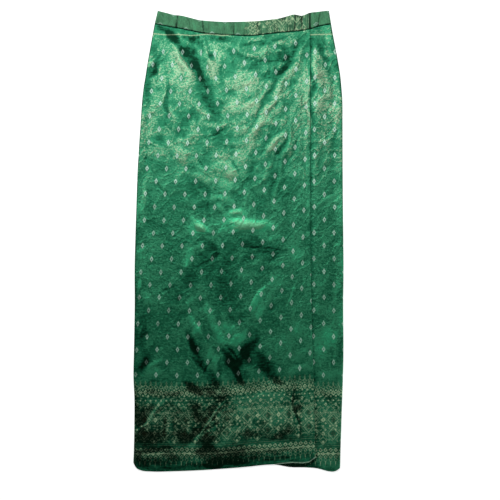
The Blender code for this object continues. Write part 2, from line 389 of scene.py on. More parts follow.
# The same along the hem border, which rises less
HEM_RISE = (
    Edge(-226, 0.0),
    Edge(-70, 0.5),
    Edge(-33, 2.0),
    Edge(15, 6.5),
    Edge(46, 9.5),
    Edge(88, 12.0),
    Edge(133, 14.5),
    Edge(166, 16.0),
)

# Folds of the front, each from its first end to its second. Height is a ridge above zero and a trough
# below it. Painted light (the tone column) is the highlight painted on the silk along the fold above zero,
# and the shade painted there below zero. Bow is how far the middle stands to the left of the fold's way,
# and peak is the share of its length at which it is fullest. Folds and patches wander a few millimetres
# off their rows' places, so that none of them is straight or round.
FOLDS = (
    # left of the dark fold
    Fold(-139, 424, -100, 316, 22, 2.4, 0.9, 6, 0.55),
    Fold(-111, 310, -31, 252, 6, 1.4, 0.7, -6),
    Fold(-130, 312, -104, 347, 15, 0.8, 0.4),
    Fold(-186, 359, -171, 278, 17, 1.0, 0.5, 2),
    Fold(-199, 295, -169, 265, 15, 0.8, 0.4),
    Fold(-198, 356, -163, 402, 8, -1.4, -1.1, 3, 0.4),
    Fold(-152, 381, -162, 243, 9, -1.3, -0.6, 4),
    Fold(-192, 210, -156, 224, 14, -1.0, -0.8),
    Fold(-205, 183, -188, 162, 13, -1.0, -0.5),
    Fold(-190, 157, -214, 74, 6, 1.2, 0.6, 2),
    # the long dark fold under the waistband
    Fold(-178, 466, -128, 432, 11, -1.6, -1.3, 2, 0.6),
    Fold(-150, 448, -78, 360, 16, -2.0, -1.2, 1),
    Fold(-88, 372, -36, 256, 17, -1.4, -1.0, -6),
    Fold(-112, 428, -66, 436, 18, -0.8, -0.9),
    Fold(-60, 436, 2, 434, 10, -0.4, -0.6),
    Fold(-118, 418, -92, 398, 15, -0.8, -1.2),
    Fold(-66, 425, -54, 385, 9, -0.8, -0.8),
    Fold(-186, 454, -72, 448, 9, -0.8, -0.5, 2),
    Fold(-89, 377, -61, 312, 9, -0.6, -0.4),
    # right of it
    Fold(-70, 428, -46, 340, 13, 2.2, 0.9, -2),
    Fold(-16, 415, 126, 430, 9, 1.8, 0.7, -20),
    Fold(-29, 436, 100, 440, 8, 0.4, -0.3, 2),
    Fold(-6, 418, 112, 438, 3, -1.0, -0.9, -2),
    Fold(0, 402, 125, 386, 2.6, -1.0, -0.9, -5),
    Fold(-18, 412, -14, 368, 14, -0.6, -0.6),
    Fold(-2, 352, 62, 356, 12, -0.6, -0.8),
    Fold(58, 352, 108, 378, 13, -0.6, -0.8),
    Fold(14, 300, 34, 312, 8, -0.6, -0.6),
    Fold(84, 346, 62, 290, 9, -0.8, -0.7),
    Fold(138, 433, 110, 400, 9, -1.0, -0.9),
    Fold(128, 380, 103, 342, 6, 0.8, 0.6),
    Fold(-8, 286, 28, 310, 9, -0.8, -0.6),
    Fold(-27, 334, 59, 342, 26, 0.8, 0.7, 6),
    Fold(-18, 278, 42, 304, 19, 0.8, 0.6, 2),
    Fold(10, 390, 130, 390, 24, -1.2, -0.5, 6),
    Fold(53, 420, 132, 413, 6, -1.0, -0.7, 2),
    Fold(-35, 420, 51, 377, 9, -0.8, -0.4, -2),
    # fan of folds below the wrap's corner
    Fold(137, 394, 10, 170, 13, 1.5, 0.9, -12, 0.4),
    Fold(120, 425, 98, 362, 12, -1.0, -0.7),
    Fold(85, 359, 18, 248, 9, -1.4, -0.6, 6),
    Fold(104, 243, 42, 175, 11, 1.8, 0.6, 2, 0.4),
    Fold(139, 321, 68, 41, 9, 1.6, 0.5, -6, 0.35),
    Fold(137, 230, 85, 132, 11, -1.6, -0.7, -2),
    Fold(94, 230, 59, 119, 11, -1.3, -0.6, -2),
    Fold(55, 243, 35, 190, 11, -1.2, -0.5),
    Fold(38, 175, 6, 98, 10, -1.2, -0.7),
    Fold(124, 377, 100, 334, 11, -0.8, -0.4),
    Fold(149, 375, 147, 140, 8, 1.3, 0.8, 0, 0.35),
    Fold(132, 300, 110, 225, 10, -1.0, -0.6),
    Fold(136, 346, 112, 334, 11, -0.8, -0.5),
    Fold(42, 186, 60, 222, 10, -1.2, -0.8),
    Fold(96, 172, 84, 198, 8, -0.8, -0.5),
    Fold(92, 228, 68, 186, 8, 1.4, 0.7),
    Fold(128, 228, 100, 172, 7, 1.2, 0.4, -3),
    Fold(78, 284, 62, 250, 7, 1.2, 0.4),
    Fold(108, 262, 92, 250, 8, 0.8, 0.4),
    Fold(139, 364, 124, 235, 17, 1.0, 0.5),
    # middle of the upper half
    Fold(-141, 196, -74, 235, 12, 0.8, 0.2, 4),
    Fold(-145, 198, -92, 190, 11, 1.2, 0.7),
    Fold(-118, 190, -110, 160, 9, 0.8, 0.5),
    Fold(-85, 150, -50, 140, 10, 0.8, 0.5),
    Fold(-100, 205, -8, 247, 2.6, -0.8, -0.8, 3),
    Fold(-92, 188, -68, 148, 2.4, -0.7, -0.7),
    Fold(-30, 200, -4, 176, 2.2, -0.6, -0.7),
    Fold(-195, 214, -158, 200, 3, 0.9, 0.8, 2),
    Fold(-208, 285, -205, 215, 9, 0.6, 0.4),
    Fold(-160, 362, -162, 275, 5, 0.8, 0.5),
    Fold(-112, 384, -92, 332, 9, 1.0, 0.7),
    Fold(-196, 352, -192, 300, 9, -0.8, -0.7),
    Fold(-206, 340, -184, 366, 8, -0.8, -0.6),
    Fold(-178, 352, -182, 300, 14, -0.4, -0.4),
    Fold(-124, 242, -118, 214, 10, -0.6, -0.5),
    Fold(-150, 195, -88, 170, 16, 0.8, 0.6),
    Fold(-55, 158, -38, 148, 8, 0.6, 0.5),
    Fold(22, 192, 36, 176, 9, -0.5, -0.5),
    Fold(34, 156, 48, 172, 8, -0.5, -0.4),
    Fold(112, 246, 88, 165, 8, -1.4, -0.9, -3),
    Fold(88, 166, 68, 98, 12, -1.4, -1.0),
    Fold(88, 216, 58, 142, 7, 1.2, 0.7),
    Fold(120, 202, 98, 168, 6, 1.0, 0.6),
    Fold(-90, 268, -112, 262, 12, -0.4, -0.4),
    Fold(-62, 240, -28, 218, 10, -0.4, -0.5),
    Fold(-68, 200, -62, 160, 18, -0.4, -0.35),
    Fold(0, 215, 12, 145, 16, 0.6, 0.35),
    Fold(8, 240, 22, 232, 9, 0.5, 0.4),
    Fold(-119, 230, -100, 286, 22, -1.4, -0.7, 2),
    Fold(-70, 265, -14, 218, 17, -1.0, -0.4, 2),
    Fold(-48, 170, -5, 123, 24, 2.0, 0.8, 6),
    Fold(-109, 196, -96, 106, 15, -1.0, -0.5),
    Fold(-120, 132, -62, 66, 22, -1.0, -0.6),
    Fold(-195, 130, -120, 90, 40, 0.2, -0.3),
    Fold(-50, 92, -30, 52, 11, 0.8, 0.6),
    Fold(-92, 134, -58, 96, 13, -1.0, -0.8),
    Fold(-98, 75, -64, 72, 9, -0.6, -0.5),
    Fold(-8, 58, 12, 76, 9, 0.6, 0.6),
    Fold(-22, 27, 64, 26, 10, 1.0, 0.7),
    Fold(-40, 130, -12, 104, 9, 0.6, 0.5),
    Fold(10, 94, 14, 78, 9, 0.5, 0.4),
    Fold(158, 152, 157, 98, 6, -0.6, -0.7),
    Fold(160, 45, 153, 8, 6, -0.5, -0.6),
    Fold(218, 118, 160, 60, 9, 1.0, 0.6),
    Fold(-42, 30, 2, 31, 2.4, -0.8, -0.8, 4),
    Fold(-27, 110, 25, 78, 11, -0.6, -0.3),
    Fold(-30, 34, 82, 30, 17, 2.2, 0.9, 4),
    Fold(-104, 52, -56, 18, 9, 1.8, 0.9, -3),
    Fold(-4, -6, 54, -12, 12, -1.2, -1.0),
    Fold(4, -36, 42, -36, 12, -0.5, -0.7),
    Fold(38, -64, 62, -60, 10, -0.5, -0.5),
    Fold(-78, -14, -42, -32, 12, -0.8, -0.6),
    Fold(5, -30, 82, -24, 18, -0.5, -0.4),
    Fold(62, 4, 95, 6, 8, 0.6, 0.4),
    Fold(-23, -17, 115, -23, 4, -1.0, -0.5, -4),
    Fold(-86, 8, -40, -28, 11, -1.0, -0.8),
    Fold(-60, -86, 0, -78, 25, -0.4, -0.35),
    Fold(-120, -56, -80, -84, 18, -0.4, -0.3),
    # thighs and knees
    Fold(-96, 20, -119, -75, 17, 1.4, 0.4, 2),
    Fold(-104, -45, 10, -75, 28, -0.8, -0.3),
    Fold(86, -62, -14, -226, 13, 1.6, 0.5, -6),
    Fold(10, -190, -22, -226, 11, 1.0, 0.6),
    Fold(-44, -150, -18, -206, 8, 1.0, 0.6, 0, 0.6),
    Fold(-28, -148, -8, -178, 9, -0.6, -0.6),
    Fold(192, -176, 196, -234, 22, 0.4, 0.6),
    Fold(120, -50, 125, -310, 75, 0.2, 0.25),
    Fold(-45, -205, -20, -242, 12, 1.0, 0.5),
    Fold(-112, -150, -84, -206, 10, 1.6, 0.7, 0, 0.7),
    Fold(-82, -112, -30, -222, 13, 1.8, 0.5, 0, 0.7),
    Fold(-29, -152, 3, -212, 17, 1.4, 0.5),
    Fold(-115, -191, -70, -285, 10, -1.9, -1.4, 4),
    Fold(-40, -220, 10, -314, 11, -2.0, -1.6, 2, 0.6),
    Fold(46, -204, -8, -266, 15, -1.6, -1.4),
    Fold(25, -230, 92, -312, 17, -1.8, -1.3, 3, 0.6),
    Fold(-212, -165, -203, -294, 17, -1.2, -0.6, 2),
    Fold(-118, -298, -78, -334, 11, -1.4, -1.6),
    Fold(-97, -210, -83, -240, 8, -1.0, -1.2),
    Fold(-103, -242, -76, -277, 8, -1.0, -0.9),
    Fold(-44, -256, -36, -296, 8, -0.8, -0.8),
    Fold(-32, -254, 12, -268, 12, -1.0, -1.2),
    Fold(6, -234, 36, -264, 14, -1.0, -1.2),
    Fold(-6, -268, 0, -302, 8, -1.0, -1.0),
    Fold(-6, -300, 20, -308, 9, -0.6, -1.0),
    Fold(58, -284, 92, -309, 11, -1.0, -0.4),
    Fold(-80, -318, -28, -300, 15, -1.2, -1.0),
    Fold(-52, -348, -18, -310, 12, -0.8, -0.6),
    Fold(-175, -220, -216, -290, 14, -1.0, -1.0),
    Fold(-215, -294, -158, -244, 9, 0.8, 0.5),
    Fold(115, -250, 150, -238, 13, 0.6, 0.4),
    Fold(-205, -100, -188, -135, 12, 0.6, 0.4),
    Fold(-214, 0, -210, -45, 9, 0.6, 0.35),
    Fold(-74, -273, -31, -324, 15, -1.2, -0.7),
    Fold(-91, -316, -18, -350, 13, -1.0, -0.6, 2),
    Fold(-70, -221, -20, -333, 13, 1.6, 0.5),
    # border and hem
    Fold(-12, -341, 81, -333, 19, 1.6, 0.5, 2),
    Fold(-223, -419, -147, -333, 6, 1.4, 0.6, 4),
    Fold(-117, -453, -18, -354, 6, 2.0, 0.8, 2),
    Fold(-83, -453, -27, -397, 11, -1.2, -0.6),
    Fold(-230, -418, -148, -424, 20, -1.0, -0.8),
    Fold(-224, -345, -206, -405, 14, -0.6, -0.9),
    Fold(-224, -462, -140, -484, 16, 0.2, -0.9),
    Fold(-105, -418, -42, -394, 13, -1.4, -1.0, -4),
    Fold(-96, -452, -44, -440, 13, -1.0, -1.5),
    Fold(-82, -475, 40, -468, 12, 0.2, -0.9),
    Fold(20, -468, 160, -462, 9, 0.2, -0.4),
    Fold(-98, -348, -92, -394, 9, -0.6, -0.9),
    Fold(-60, -362, -45, -396, 10, -0.6, -0.9),
    Fold(-145, -340, -108, -362, 10, 0.6, 0.5),
    Fold(-12, -345, 32, -390, 16, 0.8, 0.6),
    Fold(-38, -430, 12, -394, 12, 0.8, 0.5),
    Fold(48, -378, 110, -366, 18, 0.8, 0.6),
    Fold(136, -400, 155, -354, 12, 0.6, 0.6),
    Fold(178, -335, 206, -432, 30, 0.4, 0.7),
    Fold(165, -472, 212, -476, 14, 0.2, 0.5),
    Fold(0, -412, 72, -415, 12, -0.5, -0.6),
    Fold(-143, -415, -91, -423, 17, -1.2, -0.8, -2),
    Fold(-96, -384, -40, -402, 19, -1.0, -0.6),
    Fold(117, -307, 137, -427, 6, -2.0, -1.0, -4),
    Fold(70, -421, 119, -408, 13, -1.0, -1.0),
    Fold(-1, -445, 132, -430, 11, 0.8, 0.4),
    Fold(-228, -402, -28, -412, 62, 0.0, -0.4),
    Fold(50, -488, 172, -474, 8, -0.2, -1.5),
    Fold(170, -205, 190, -300, 40, 0.2, 0.35),
    Fold(-14, -352, 120, -372, 30, 0.2, 0.4),
    Fold(-190, -280, -150, -290, 20, 0.3, 0.3),
    Fold(-221, -414, -157, -341, 3.4, 0.5, 1.7, 2),
    # thin creases
    Fold(-93, 187, -60, 135, 2.8, -0.7, -1.1, 1),
    Fold(-30, 199, 14, 124, 2.8, -0.7, -1.1),
    Fold(14, 122, 50, 88, 2.8, -0.6, -0.9),
    Fold(6, -10, 118, -21, 3.0, -0.8, -1.3, 2),
    Fold(-14, 24, 8, -4, 2.8, -0.6, -0.9),
    Fold(-172, -117, -129, -92, 2.8, -0.6, -1.0, 2),
    Fold(-96, -70, -40, -24, 2.8, -0.6, -0.9, 2),
    Fold(-76, -287, -56, -250, 3.0, -0.7, -1.2, 1),
    Fold(-33, -217, 2, -262, 4.0, -0.8, -1.4, 1),
    Fold(60, -60, 86, -22, 2.8, -0.5, -0.8, 1),
    Fold(18, -150, 61, -89, 4.0, 0.6, 0.9, 1),
    Fold(103, -147, 127, -80, 3.0, 0.5, 0.8, 1),
    Fold(-104, -447, -24, -334, 3.4, 0.5, 1.7, 2),
    # under front
    Fold(158, 415, 190, 286, 15, 2.2, 0.6, -4, 0.4),
    Fold(175, 390, 180, 350, 9, 0.6, 0.5),
    Fold(186, 342, 198, 306, 12, 1.0, 0.7),
    Fold(172, 302, 182, 276, 11, 0.8, 0.7),
    Fold(206, 412, 208, 360, 9, -0.6, -0.6),
    Fold(199, 299, 218, 248, 15, 1.4, 0.5),
    Fold(182, 437, 214, 377, 15, -1.2, -0.6),
    Fold(156, 441, 175, 407, 13, -1.0, -0.5),
    Fold(167, 222, 212, 220, 4, 1.0, 0.4, -4),
    Fold(156, 127, 210, 192, 4, 1.0, 0.4, 2),
    Fold(158, 398, 158, 230, 9, -0.8, -0.8),
)

# Places between the folds where the satin leans to the light or away from it. There the highlight or shade
# is painted on the silk, and the cloth swells or sinks with it. Turn is in degrees from +X, and the painted
# light (the tone column) is as for the folds.
PATCHES = (
    # down the long dark fold
    Patch(-124, 416, 30, 8, -0.7, -48),
    Patch(-144, 437, 14, 6, -0.6, -60),
    Patch(-94, 366, 28, 10, -0.7, -48),
    Patch(-62, 392, 18, 5, -0.5, -60),
    Patch(-106, 395, 12, 6, 0.5, -50),
    Patch(-129, 437, 10, 4, 0.4, -50),
    Patch(-110, 436, 20, 7, -0.9, -32),
    Patch(-119, 410, 11, 7, -0.9, -50),
    Patch(-92, 402, 16, 7, -0.6, -55),
    Patch(-107, 367, 14, 10, -0.7, -50),
    Patch(-146, 438, 9, 5, -0.5, -60),
    Patch(-84, 352, 12, 8, -0.4, -50),
    Patch(-96, 384, 30, 12, -0.9, -50),
    Patch(-70, 350, 26, 10, -0.7, -50),
    Patch(-76, 300, 26, 13, -0.6, -65),
    Patch(-38, 288, 18, 9, -0.6, -75),
    Patch(-90, 266, 14, 9, -0.5, 60),
    Patch(-78, 420, 14, 8, -0.8, -60),
    Patch(-100, 440, 14, 7, -0.8, -30),
    Patch(-108, 278, 26, 20, -0.4),
    Patch(-60, 272, 14, 9, -0.4),
    Patch(-60, 243, 12, 6, -0.5),
    Patch(-38, 268, 14, 7, -0.4, 80),
    Patch(-52, 388, 44, 12, 0.5, 80),
    Patch(15, 326, 40, 14, 0.15),
    Patch(-62, 326, 14, 8, -0.5),
    Patch(4, 290, 40, 14, 0.4, 12),
    # left of it
    Patch(-136, 375, 52, 22, 0.45, 72),
    Patch(-130, 232, 22, 6, -0.5, 70),
    Patch(-130, 307, 26, 7, 0.5, 5),
    Patch(-143, 280, 20, 6, 0.6, -50),
    Patch(-184, 402, 16, 8, -0.6, 60),
    Patch(-178, 372, 22, 6, -1.0, 58),
    Patch(-145, 368, 20, 6, -0.35, 88),
    Patch(-172, 436, 12, 6, 0.4, 95),
    Patch(-134, 283, 18, 12, 0.4, 90),
    Patch(-187, 378, 12, 6, 0.6, 60),
    Patch(-183, 360, 14, 7, -0.9, 50),
    Patch(-86, 433, 9, 6, 0.6),
    Patch(-130, 335, 50, 8, 0.25),
    Patch(-180, 325, 12, 16, 0.25),
    Patch(-165, 255, 14, 12, -0.4),
    Patch(-128, 338, 16, 10, 0.5, 70),
    Patch(-152, 400, 12, 10, 0.4),
    Patch(-195, 272, 12, 10, 0.4, 30),
    Patch(-172, 190, 16, 18, 0.5),
    Patch(-112, 172, 14, 8, 0.5, 30),
    # right of it
    Patch(-50, 438, 16, 8, -0.7),
    Patch(-15, 428, 16, 9, -0.5, -20),
    Patch(45, 427, 18, 6, -0.6, 8),
    Patch(88, 443, 26, 5, 0.5, 5),
    Patch(-33, 438, 11, 9, -0.7),
    Patch(56, 426, 13, 6, -0.7, 20),
    Patch(90, 420, 20, 5, 0.6, 5),
    Patch(28, 373, 28, 9, -0.7, 5),
    Patch(99, 400, 18, 14, -0.6, 30),
    Patch(105, 366, 13, 5, -0.5, 55),
    Patch(-61, 407, 10, 4, 0.4, -60),
    Patch(73, 351, 12, 4, 0.4, 20),
    Patch(90, 424, 18, 5, 0.6, 8),
    Patch(28, 359, 30, 7, 0.2, 10),
    Patch(78, 364, 26, 14, -0.25, 20),
    Patch(65, 352, 24, 10, -0.5, 10),
    Patch(88, 388, 16, 12, -0.4, 50),
    Patch(104, 372, 22, 8, -0.5, 50),
    Patch(60, 343, 18, 7, -0.4),
    Patch(74, 300, 20, 8, -0.5, 42),
    Patch(30, 458, 16, 8, -0.4),
    Patch(135, 425, 22, 10, -0.6, 90),
    Patch(-20, 317, 16, 7, -0.5),
    Patch(-45, 248, 26, 9, 0.6, -10),
    Patch(-42, 375, 26, 6, 0.5, 80),
    Patch(30, 285, 28, 13, 0.7, 40),
    Patch(5, 232, 16, 9, 0.5, 20),
    Patch(-28, 338, 12, 9, 0.7, 80),
    Patch(8, 250, 26, 14, 0.5, 60),
    Patch(60, 253, 14, 8, 0.6),
    Patch(-14, 206, 18, 6, 0.5, -20),
    Patch(150, 412, 40, 9, -0.6, 90),
    Patch(72, 358, 12, 7, 0.5, 30),
    # fan below the wrap's corner
    Patch(96, 360, 22, 7, -0.5, 60),
    Patch(70, 302, 12, 6, -0.4, 40),
    Patch(65, 218, 14, 10, -0.6, 45),
    Patch(32, 190, 18, 14, -0.5),
    Patch(90, 285, 18, 7, 0.6, 80),
    Patch(60, 148, 18, 10, 0.7, 60),
    Patch(128, 148, 22, 14, 0.5),
    Patch(128, 290, 30, 8, -0.4, 70),
    Patch(75, 240, 20, 14, -0.5),
    Patch(90, 175, 20, 6, -0.4, 60),
    Patch(150, 190, 30, 7, -0.4, 90),
    Patch(100, 325, 30, 7, 0.5, 70),
    Patch(82, 204, 20, 9, 1.2, 32),
    Patch(35, 272, 14, 9, 0.4, 60),
    Patch(108, 188, 18, 6, 0.7, 62),
    Patch(150, 295, 18, 6, 0.5, 90),
    Patch(55, 392, 14, 8, 0.5, 80),
    # under front
    Patch(187, 401, 20, 9, -1.1, -55),
    Patch(180, 358, 14, 9, 0.5, 90),
    Patch(202, 306, 18, 6, 0.6, 10),
    Patch(206, 374, 10, 6, 0.4, 90),
    Patch(178, 352, 12, 10, 0.4),
    Patch(203, 350, 10, 6, -0.5, 90),
    Patch(188, 380, 8, 6, -0.4),
    Patch(155, 288, 22, 6, 0.3, 90),
    Patch(190, 288, 18, 12, 0.3),
    Patch(190, 450, 8, 8, -0.5),
    Patch(182, 300, 22, 14, 0.7, 60),
    Patch(182, 205, 22, 9, 0.5),
    Patch(195, 65, 28, 12, 0.4, 70),
    Patch(210, -5, 18, 7, 0.4, 90),
    Patch(208, -110, 36, 9, 0.6, 90),
    Patch(210, -225, 40, 8, 0.5, 90),
    Patch(185, -145, 24, 22, 0.35),
    Patch(190, -285, 30, 12, 0.4),
    Patch(197, 418, 22, 6, 0.6, -75),
    Patch(203, 325, 24, 9, 0.8, 75),
    Patch(195, 85, 30, 7, 0.4, 35),
    # middle
    Patch(-82, 140, 40, 8, 0.6, -12),
    Patch(-10, 145, 30, 9, 0.6),
    Patch(-2, 58, 20, 7, 1.0, 5),
    Patch(-35, 92, 26, 8, 0.5),
    Patch(-15, 38, 9, 16, 0.5),
    Patch(30, 37, 42, 10, 0.9),
    Patch(118, -28, 32, 22, 0.35, 20),
    Patch(21, 32, 26, 10, 0.5),
    Patch(-85, 28, 14, 9, 0.7),
    Patch(-2, 54, 22, 6, 0.6, 5),
    Patch(-55, 34, 70, 22, 0.2),
    Patch(-30, 88, 24, 8, 0.5, -10),
    Patch(-62, 100, 14, 10, -0.5, 60),
    Patch(-32, -88, 16, 11, -0.4),
    Patch(-110, -58, 28, 8, -0.5, 8),
    Patch(-213, -98, 14, 6, 1.0, 90),
    Patch(-106, -126, 12, 8, 0.5, 90),
    Patch(70, -140, 9, 8, -0.5),
    Patch(-15, 140, 22, 10, 0.4),
    Patch(-186, 35, 14, 12, -0.35),
    Patch(-205, 82, 30, 6, 0.5, 78),
    Patch(-165, 178, 22, 22, 0.3),
    Patch(0, 175, 20, 10, 0.5, 90),
    Patch(-35, 182, 20, 7, 0.5, 10),
    Patch(-105, 222, 30, 7, 0.4, 15),
    Patch(-30, -115, 34, 26, -0.5, -10),
    Patch(-103, -92, 20, 12, -0.5),
    Patch(-75, -48, 26, 8, -0.4, 90),
    Patch(-20, -42, 22, 10, -0.4),
    Patch(-115, 42, 14, 9, -0.5),
    Patch(-82, 25, 26, 9, 0.5, -10),
    Patch(-28, 118, 32, 20, 0.6, 100),
    Patch(-10, 62, 34, 7, 0.5, 8),
    Patch(-84, 27, 16, 8, 0.9, -40),
    Patch(20, 31, 34, 8, 0.7),
    Patch(125, 10, 28, 16, 0.45, 60),
    Patch(80, -45, 20, 9, 0.5, 10),
    Patch(20, -75, 20, 18, 0.3),
    Patch(-180, -65, 28, 24, 0.35),
    Patch(-90, 122, 14, 9, -0.5, 90),
    Patch(-62, 115, 16, 8, -0.5, 70),
    Patch(-115, 55, 16, 14, -0.6),
    Patch(-192, 70, 50, 9, -0.4, 84),
    Patch(90, 122, 20, 6, -0.6, 65),
    Patch(45, 80, 22, 14, -0.4, 70),
    Patch(132, 72, 16, 13, -0.5, 50),
    Patch(45, 0, 22, 7, -0.8, -20),
    Patch(-100, 0, 22, 12, -0.4, 90),
    Patch(-65, -32, 26, 7, -0.6),
    Patch(20, -40, 22, 8, -0.5, 10),
    Patch(-60, -72, 26, 10, -0.4, 80),
    Patch(-32, -62, 14, 9, -0.4),
    Patch(5, -58, 14, 9, -0.4),
    Patch(-110, -80, 24, 12, -0.35, 10),
    # knees
    Patch(60, -95, 28, 7, -0.4, 48),
    Patch(-78, -130, 14, 14, -0.6),
    Patch(15, -158, 22, 9, -0.9, 60),
    Patch(2, -140, 16, 9, -0.4, 40),
    Patch(88, -112, 22, 8, -0.4, 30),
    Patch(-130, -125, 12, 9, -0.4, 90),
    Patch(-188, -144, 12, 9, -0.4, 90),
    Patch(-20, -172, 20, 12, -0.4),
    Patch(-115, -160, 28, 9, -0.4, 20),
    Patch(-202, -165, 26, 14, -0.5, 80),
    Patch(135, -155, 18, 16, -0.35),
    Patch(48, -150, 20, 8, 0.4, 60),
    Patch(88, -165, 14, 14, 0.35),
    Patch(-130, -142, 28, 9, 0.35),
    Patch(8, -205, 26, 8, 0.8, 55),
    Patch(-35, -250, 18, 12, 0.4),
    Patch(-185, -285, 24, 10, 0.5, 20),
    Patch(-125, -268, 26, 24, 0.4),
    Patch(130, -275, 36, 14, 0.4),
    Patch(-88, -227, 10, 8, -0.8, -60),
    Patch(15, -262, 20, 14, -0.5, 90),
    Patch(16, -289, 14, 9, -0.6, 90),
    Patch(22, -263, 13, 9, -0.6),
    Patch(4, -250, 16, 6, 0.5, 50),
    Patch(73, -278, 18, 8, 0.6, 100),
    Patch(-210, -198, 14, 6, 0.4, 90),
    Patch(-88, -255, 14, 4, 0.4, -70),
    Patch(45, -250, 24, 12, -0.3, 80),
    Patch(-5, -302, 14, 14, -0.7),
    Patch(-62, -338, 28, 9, -0.4, 12),
    Patch(-66, -323, 24, 10, -0.6, 20),
    Patch(-97, -324, 18, 10, -1.1, -20),
    Patch(-24, -325, 18, 10, -0.6, -30),
    Patch(-207, -266, 26, 12, -0.5, 30),
    Patch(-202, -198, 14, 9, -0.7, 80),
    Patch(-134, -176, 12, 10, -0.5),
    Patch(145, -290, 30, 16, -0.35),
    Patch(-92, -192, 12, 10, 0.6),
    Patch(-5, -212, 30, 12, 0.5, 10),
    Patch(0, -272, 24, 14, -0.6, 90),
    Patch(45, -273, 14, 14, -0.6),
    Patch(-50, -290, 18, 8, -0.4, 50),
    Patch(-84, -268, 18, 7, -0.35, -50),
    # border
    Patch(-98, -352, 16, 10, -0.8),
    Patch(-38, -350, 34, 10, -0.9, 30),
    Patch(-70, -374, 26, 14, -0.6, 10),
    Patch(-24, -364, 15, 9, -0.3),
    Patch(-85, -405, 24, 9, -0.9, 10),
    Patch(-208, -388, 45, 12, -1.0, 90),
    Patch(45, -388, 18, 9, -0.5),
    Patch(90, -411, 16, 6, 0.5),
    Patch(157, -462, 12, 9, -0.7, 40),
    Patch(122, -338, 10, 10, -0.6),
    Patch(130, -362, 12, 9, -0.8, 90),
    Patch(-150, -443, 80, 46, -0.15),
    Patch(-40, -479, 80, 7, -1.1, 3),
    Patch(-205, -480, 18, 10, -0.9),
    Patch(-145, -466, 16, 12, -0.6),
    Patch(105, -458, 16, 7, 0.6, -10),
    Patch(168, -473, 9, 7, 0.5),
    Patch(-60, -458, 34, 12, -0.5),
    Patch(20, -420, 24, 12, -0.5, 20),
    Patch(100, -430, 18, 9, -0.5),
    Patch(0, -440, 20, 9, -0.5),
    Patch(190, -335, 16, 10, -0.5),
    Patch(50, -338, 70, 9, 0.6, 5),
    Patch(150, -375, 26, 14, 0.5, 90),
    Patch(206, -400, 24, 8, 0.6, 90),
    Patch(135, -477, 24, 7, 0.5),
    Patch(205, -478, 12, 9, 0.5, 90),
    Patch(-160, -328, 56, 10, -0.65),
    Patch(-178, -357, 34, 10, -0.6),
    Patch(130, -366, 10, 9, -0.5),
    Patch(88, -450, 30, 8, -0.5, 4),
    Patch(-20, -461, 28, 9, -0.5, 3),
    Patch(-218, -462, 15, 9, -0.9, 90),
    Patch(-195, -372, 32, 16, -0.8, 40),
    Patch(-90, -362, 14, 14, -0.6),
    Patch(-65, -428, 24, 13, -0.8),
    Patch(-200, -430, 28, 18, -0.5),
    Patch(-115, -428, 22, 8, -0.5),
    Patch(-65, -460, 30, 20, -0.7),
    Patch(20, -455, 60, 12, -0.6, 5),
    Patch(85, -422, 26, 8, -0.7),
    Patch(-180, -449, 52, 7, -0.8),
    Patch(-160, -487, 60, 6, -0.55),
    Patch(-25, -449, 46, 7, -0.7, 3),
    Patch(100, -467, 50, 9, -0.6, 4),
    Patch(0, -372, 30, 20, 0.5, 20),
    Patch(-62, -406, 26, 5, 1.0, 32),
    Patch(-148, -398, 24, 9, 0.6, 90),
    Patch(-105, -412, 10, 10, 0.6),
    Patch(75, -395, 26, 8, 0.6, 25),
    Patch(152, -395, 26, 20, 0.5, 90),
    Patch(-100, -440, 16, 5, 0.7, 25),
    Patch(205, -430, 50, 8, 0.4, 90),
    Patch(-65, -405, 24, 6, 0.6, 32),
    Patch(-160, -427, 30, 20, 0.35),
    Patch(-30, -350, 20, 9, 0.4, 10),
    Patch(127, -359, 14, 7, 0.4),
    Patch(128, -464, 22, 6, 0.4),
    Patch(162, -474, 9, 7, 0.6),
    Patch(212, -450, 8, 22, -0.5),
)

# Soft creases of the back, which lies flat: low ridges only
BACK_FOLDS = (
    Fold(-150, 430, -60, 250, 12, 0.9, 0.5, 12, 0.4),
    Fold(120, 420, 30, 180, 12, 0.9, 0.5, -10, 0.4),
    Fold(60, 440, -20, 330, 9, 0.7, -0.4, 6),
    Fold(-190, 200, -60, 150, 10, 0.6, 0.4, 6),
    Fold(190, 120, 20, 20, 12, 0.8, 0.5, 10),
    Fold(-120, 40, -20, -90, 10, 0.7, -0.4, -8),
    Fold(-180, -130, 40, -190, 12, 0.8, 0.5, 10),
    Fold(150, -120, 60, -300, 10, 0.8, -0.5, 8, 0.6),
    Fold(-60, -240, -150, -400, 9, 0.7, 0.5, 8),
    Fold(10, -300, 90, -440, 9, 0.7, -0.4, -6),
)

# Creases pressed across the waistband
BAND_CREASES = (
    Crease(-132, 3, 4.0, 1.0),
    Crease(-76, -2, 3.0, 1.1),
    Crease(-10, 1, 3.5, 1.1),
    Crease(18, -3, 3.0, 0.5),
    Crease(40, 2, 4.0, 0.7),
    Crease(83, -2, 4.0, 0.6),
    Crease(121, 2, 4.0, 0.9),
    Crease(136, 0, 4.5, 1.0),
    Crease(173, 6, 3.0, 1.0),
)

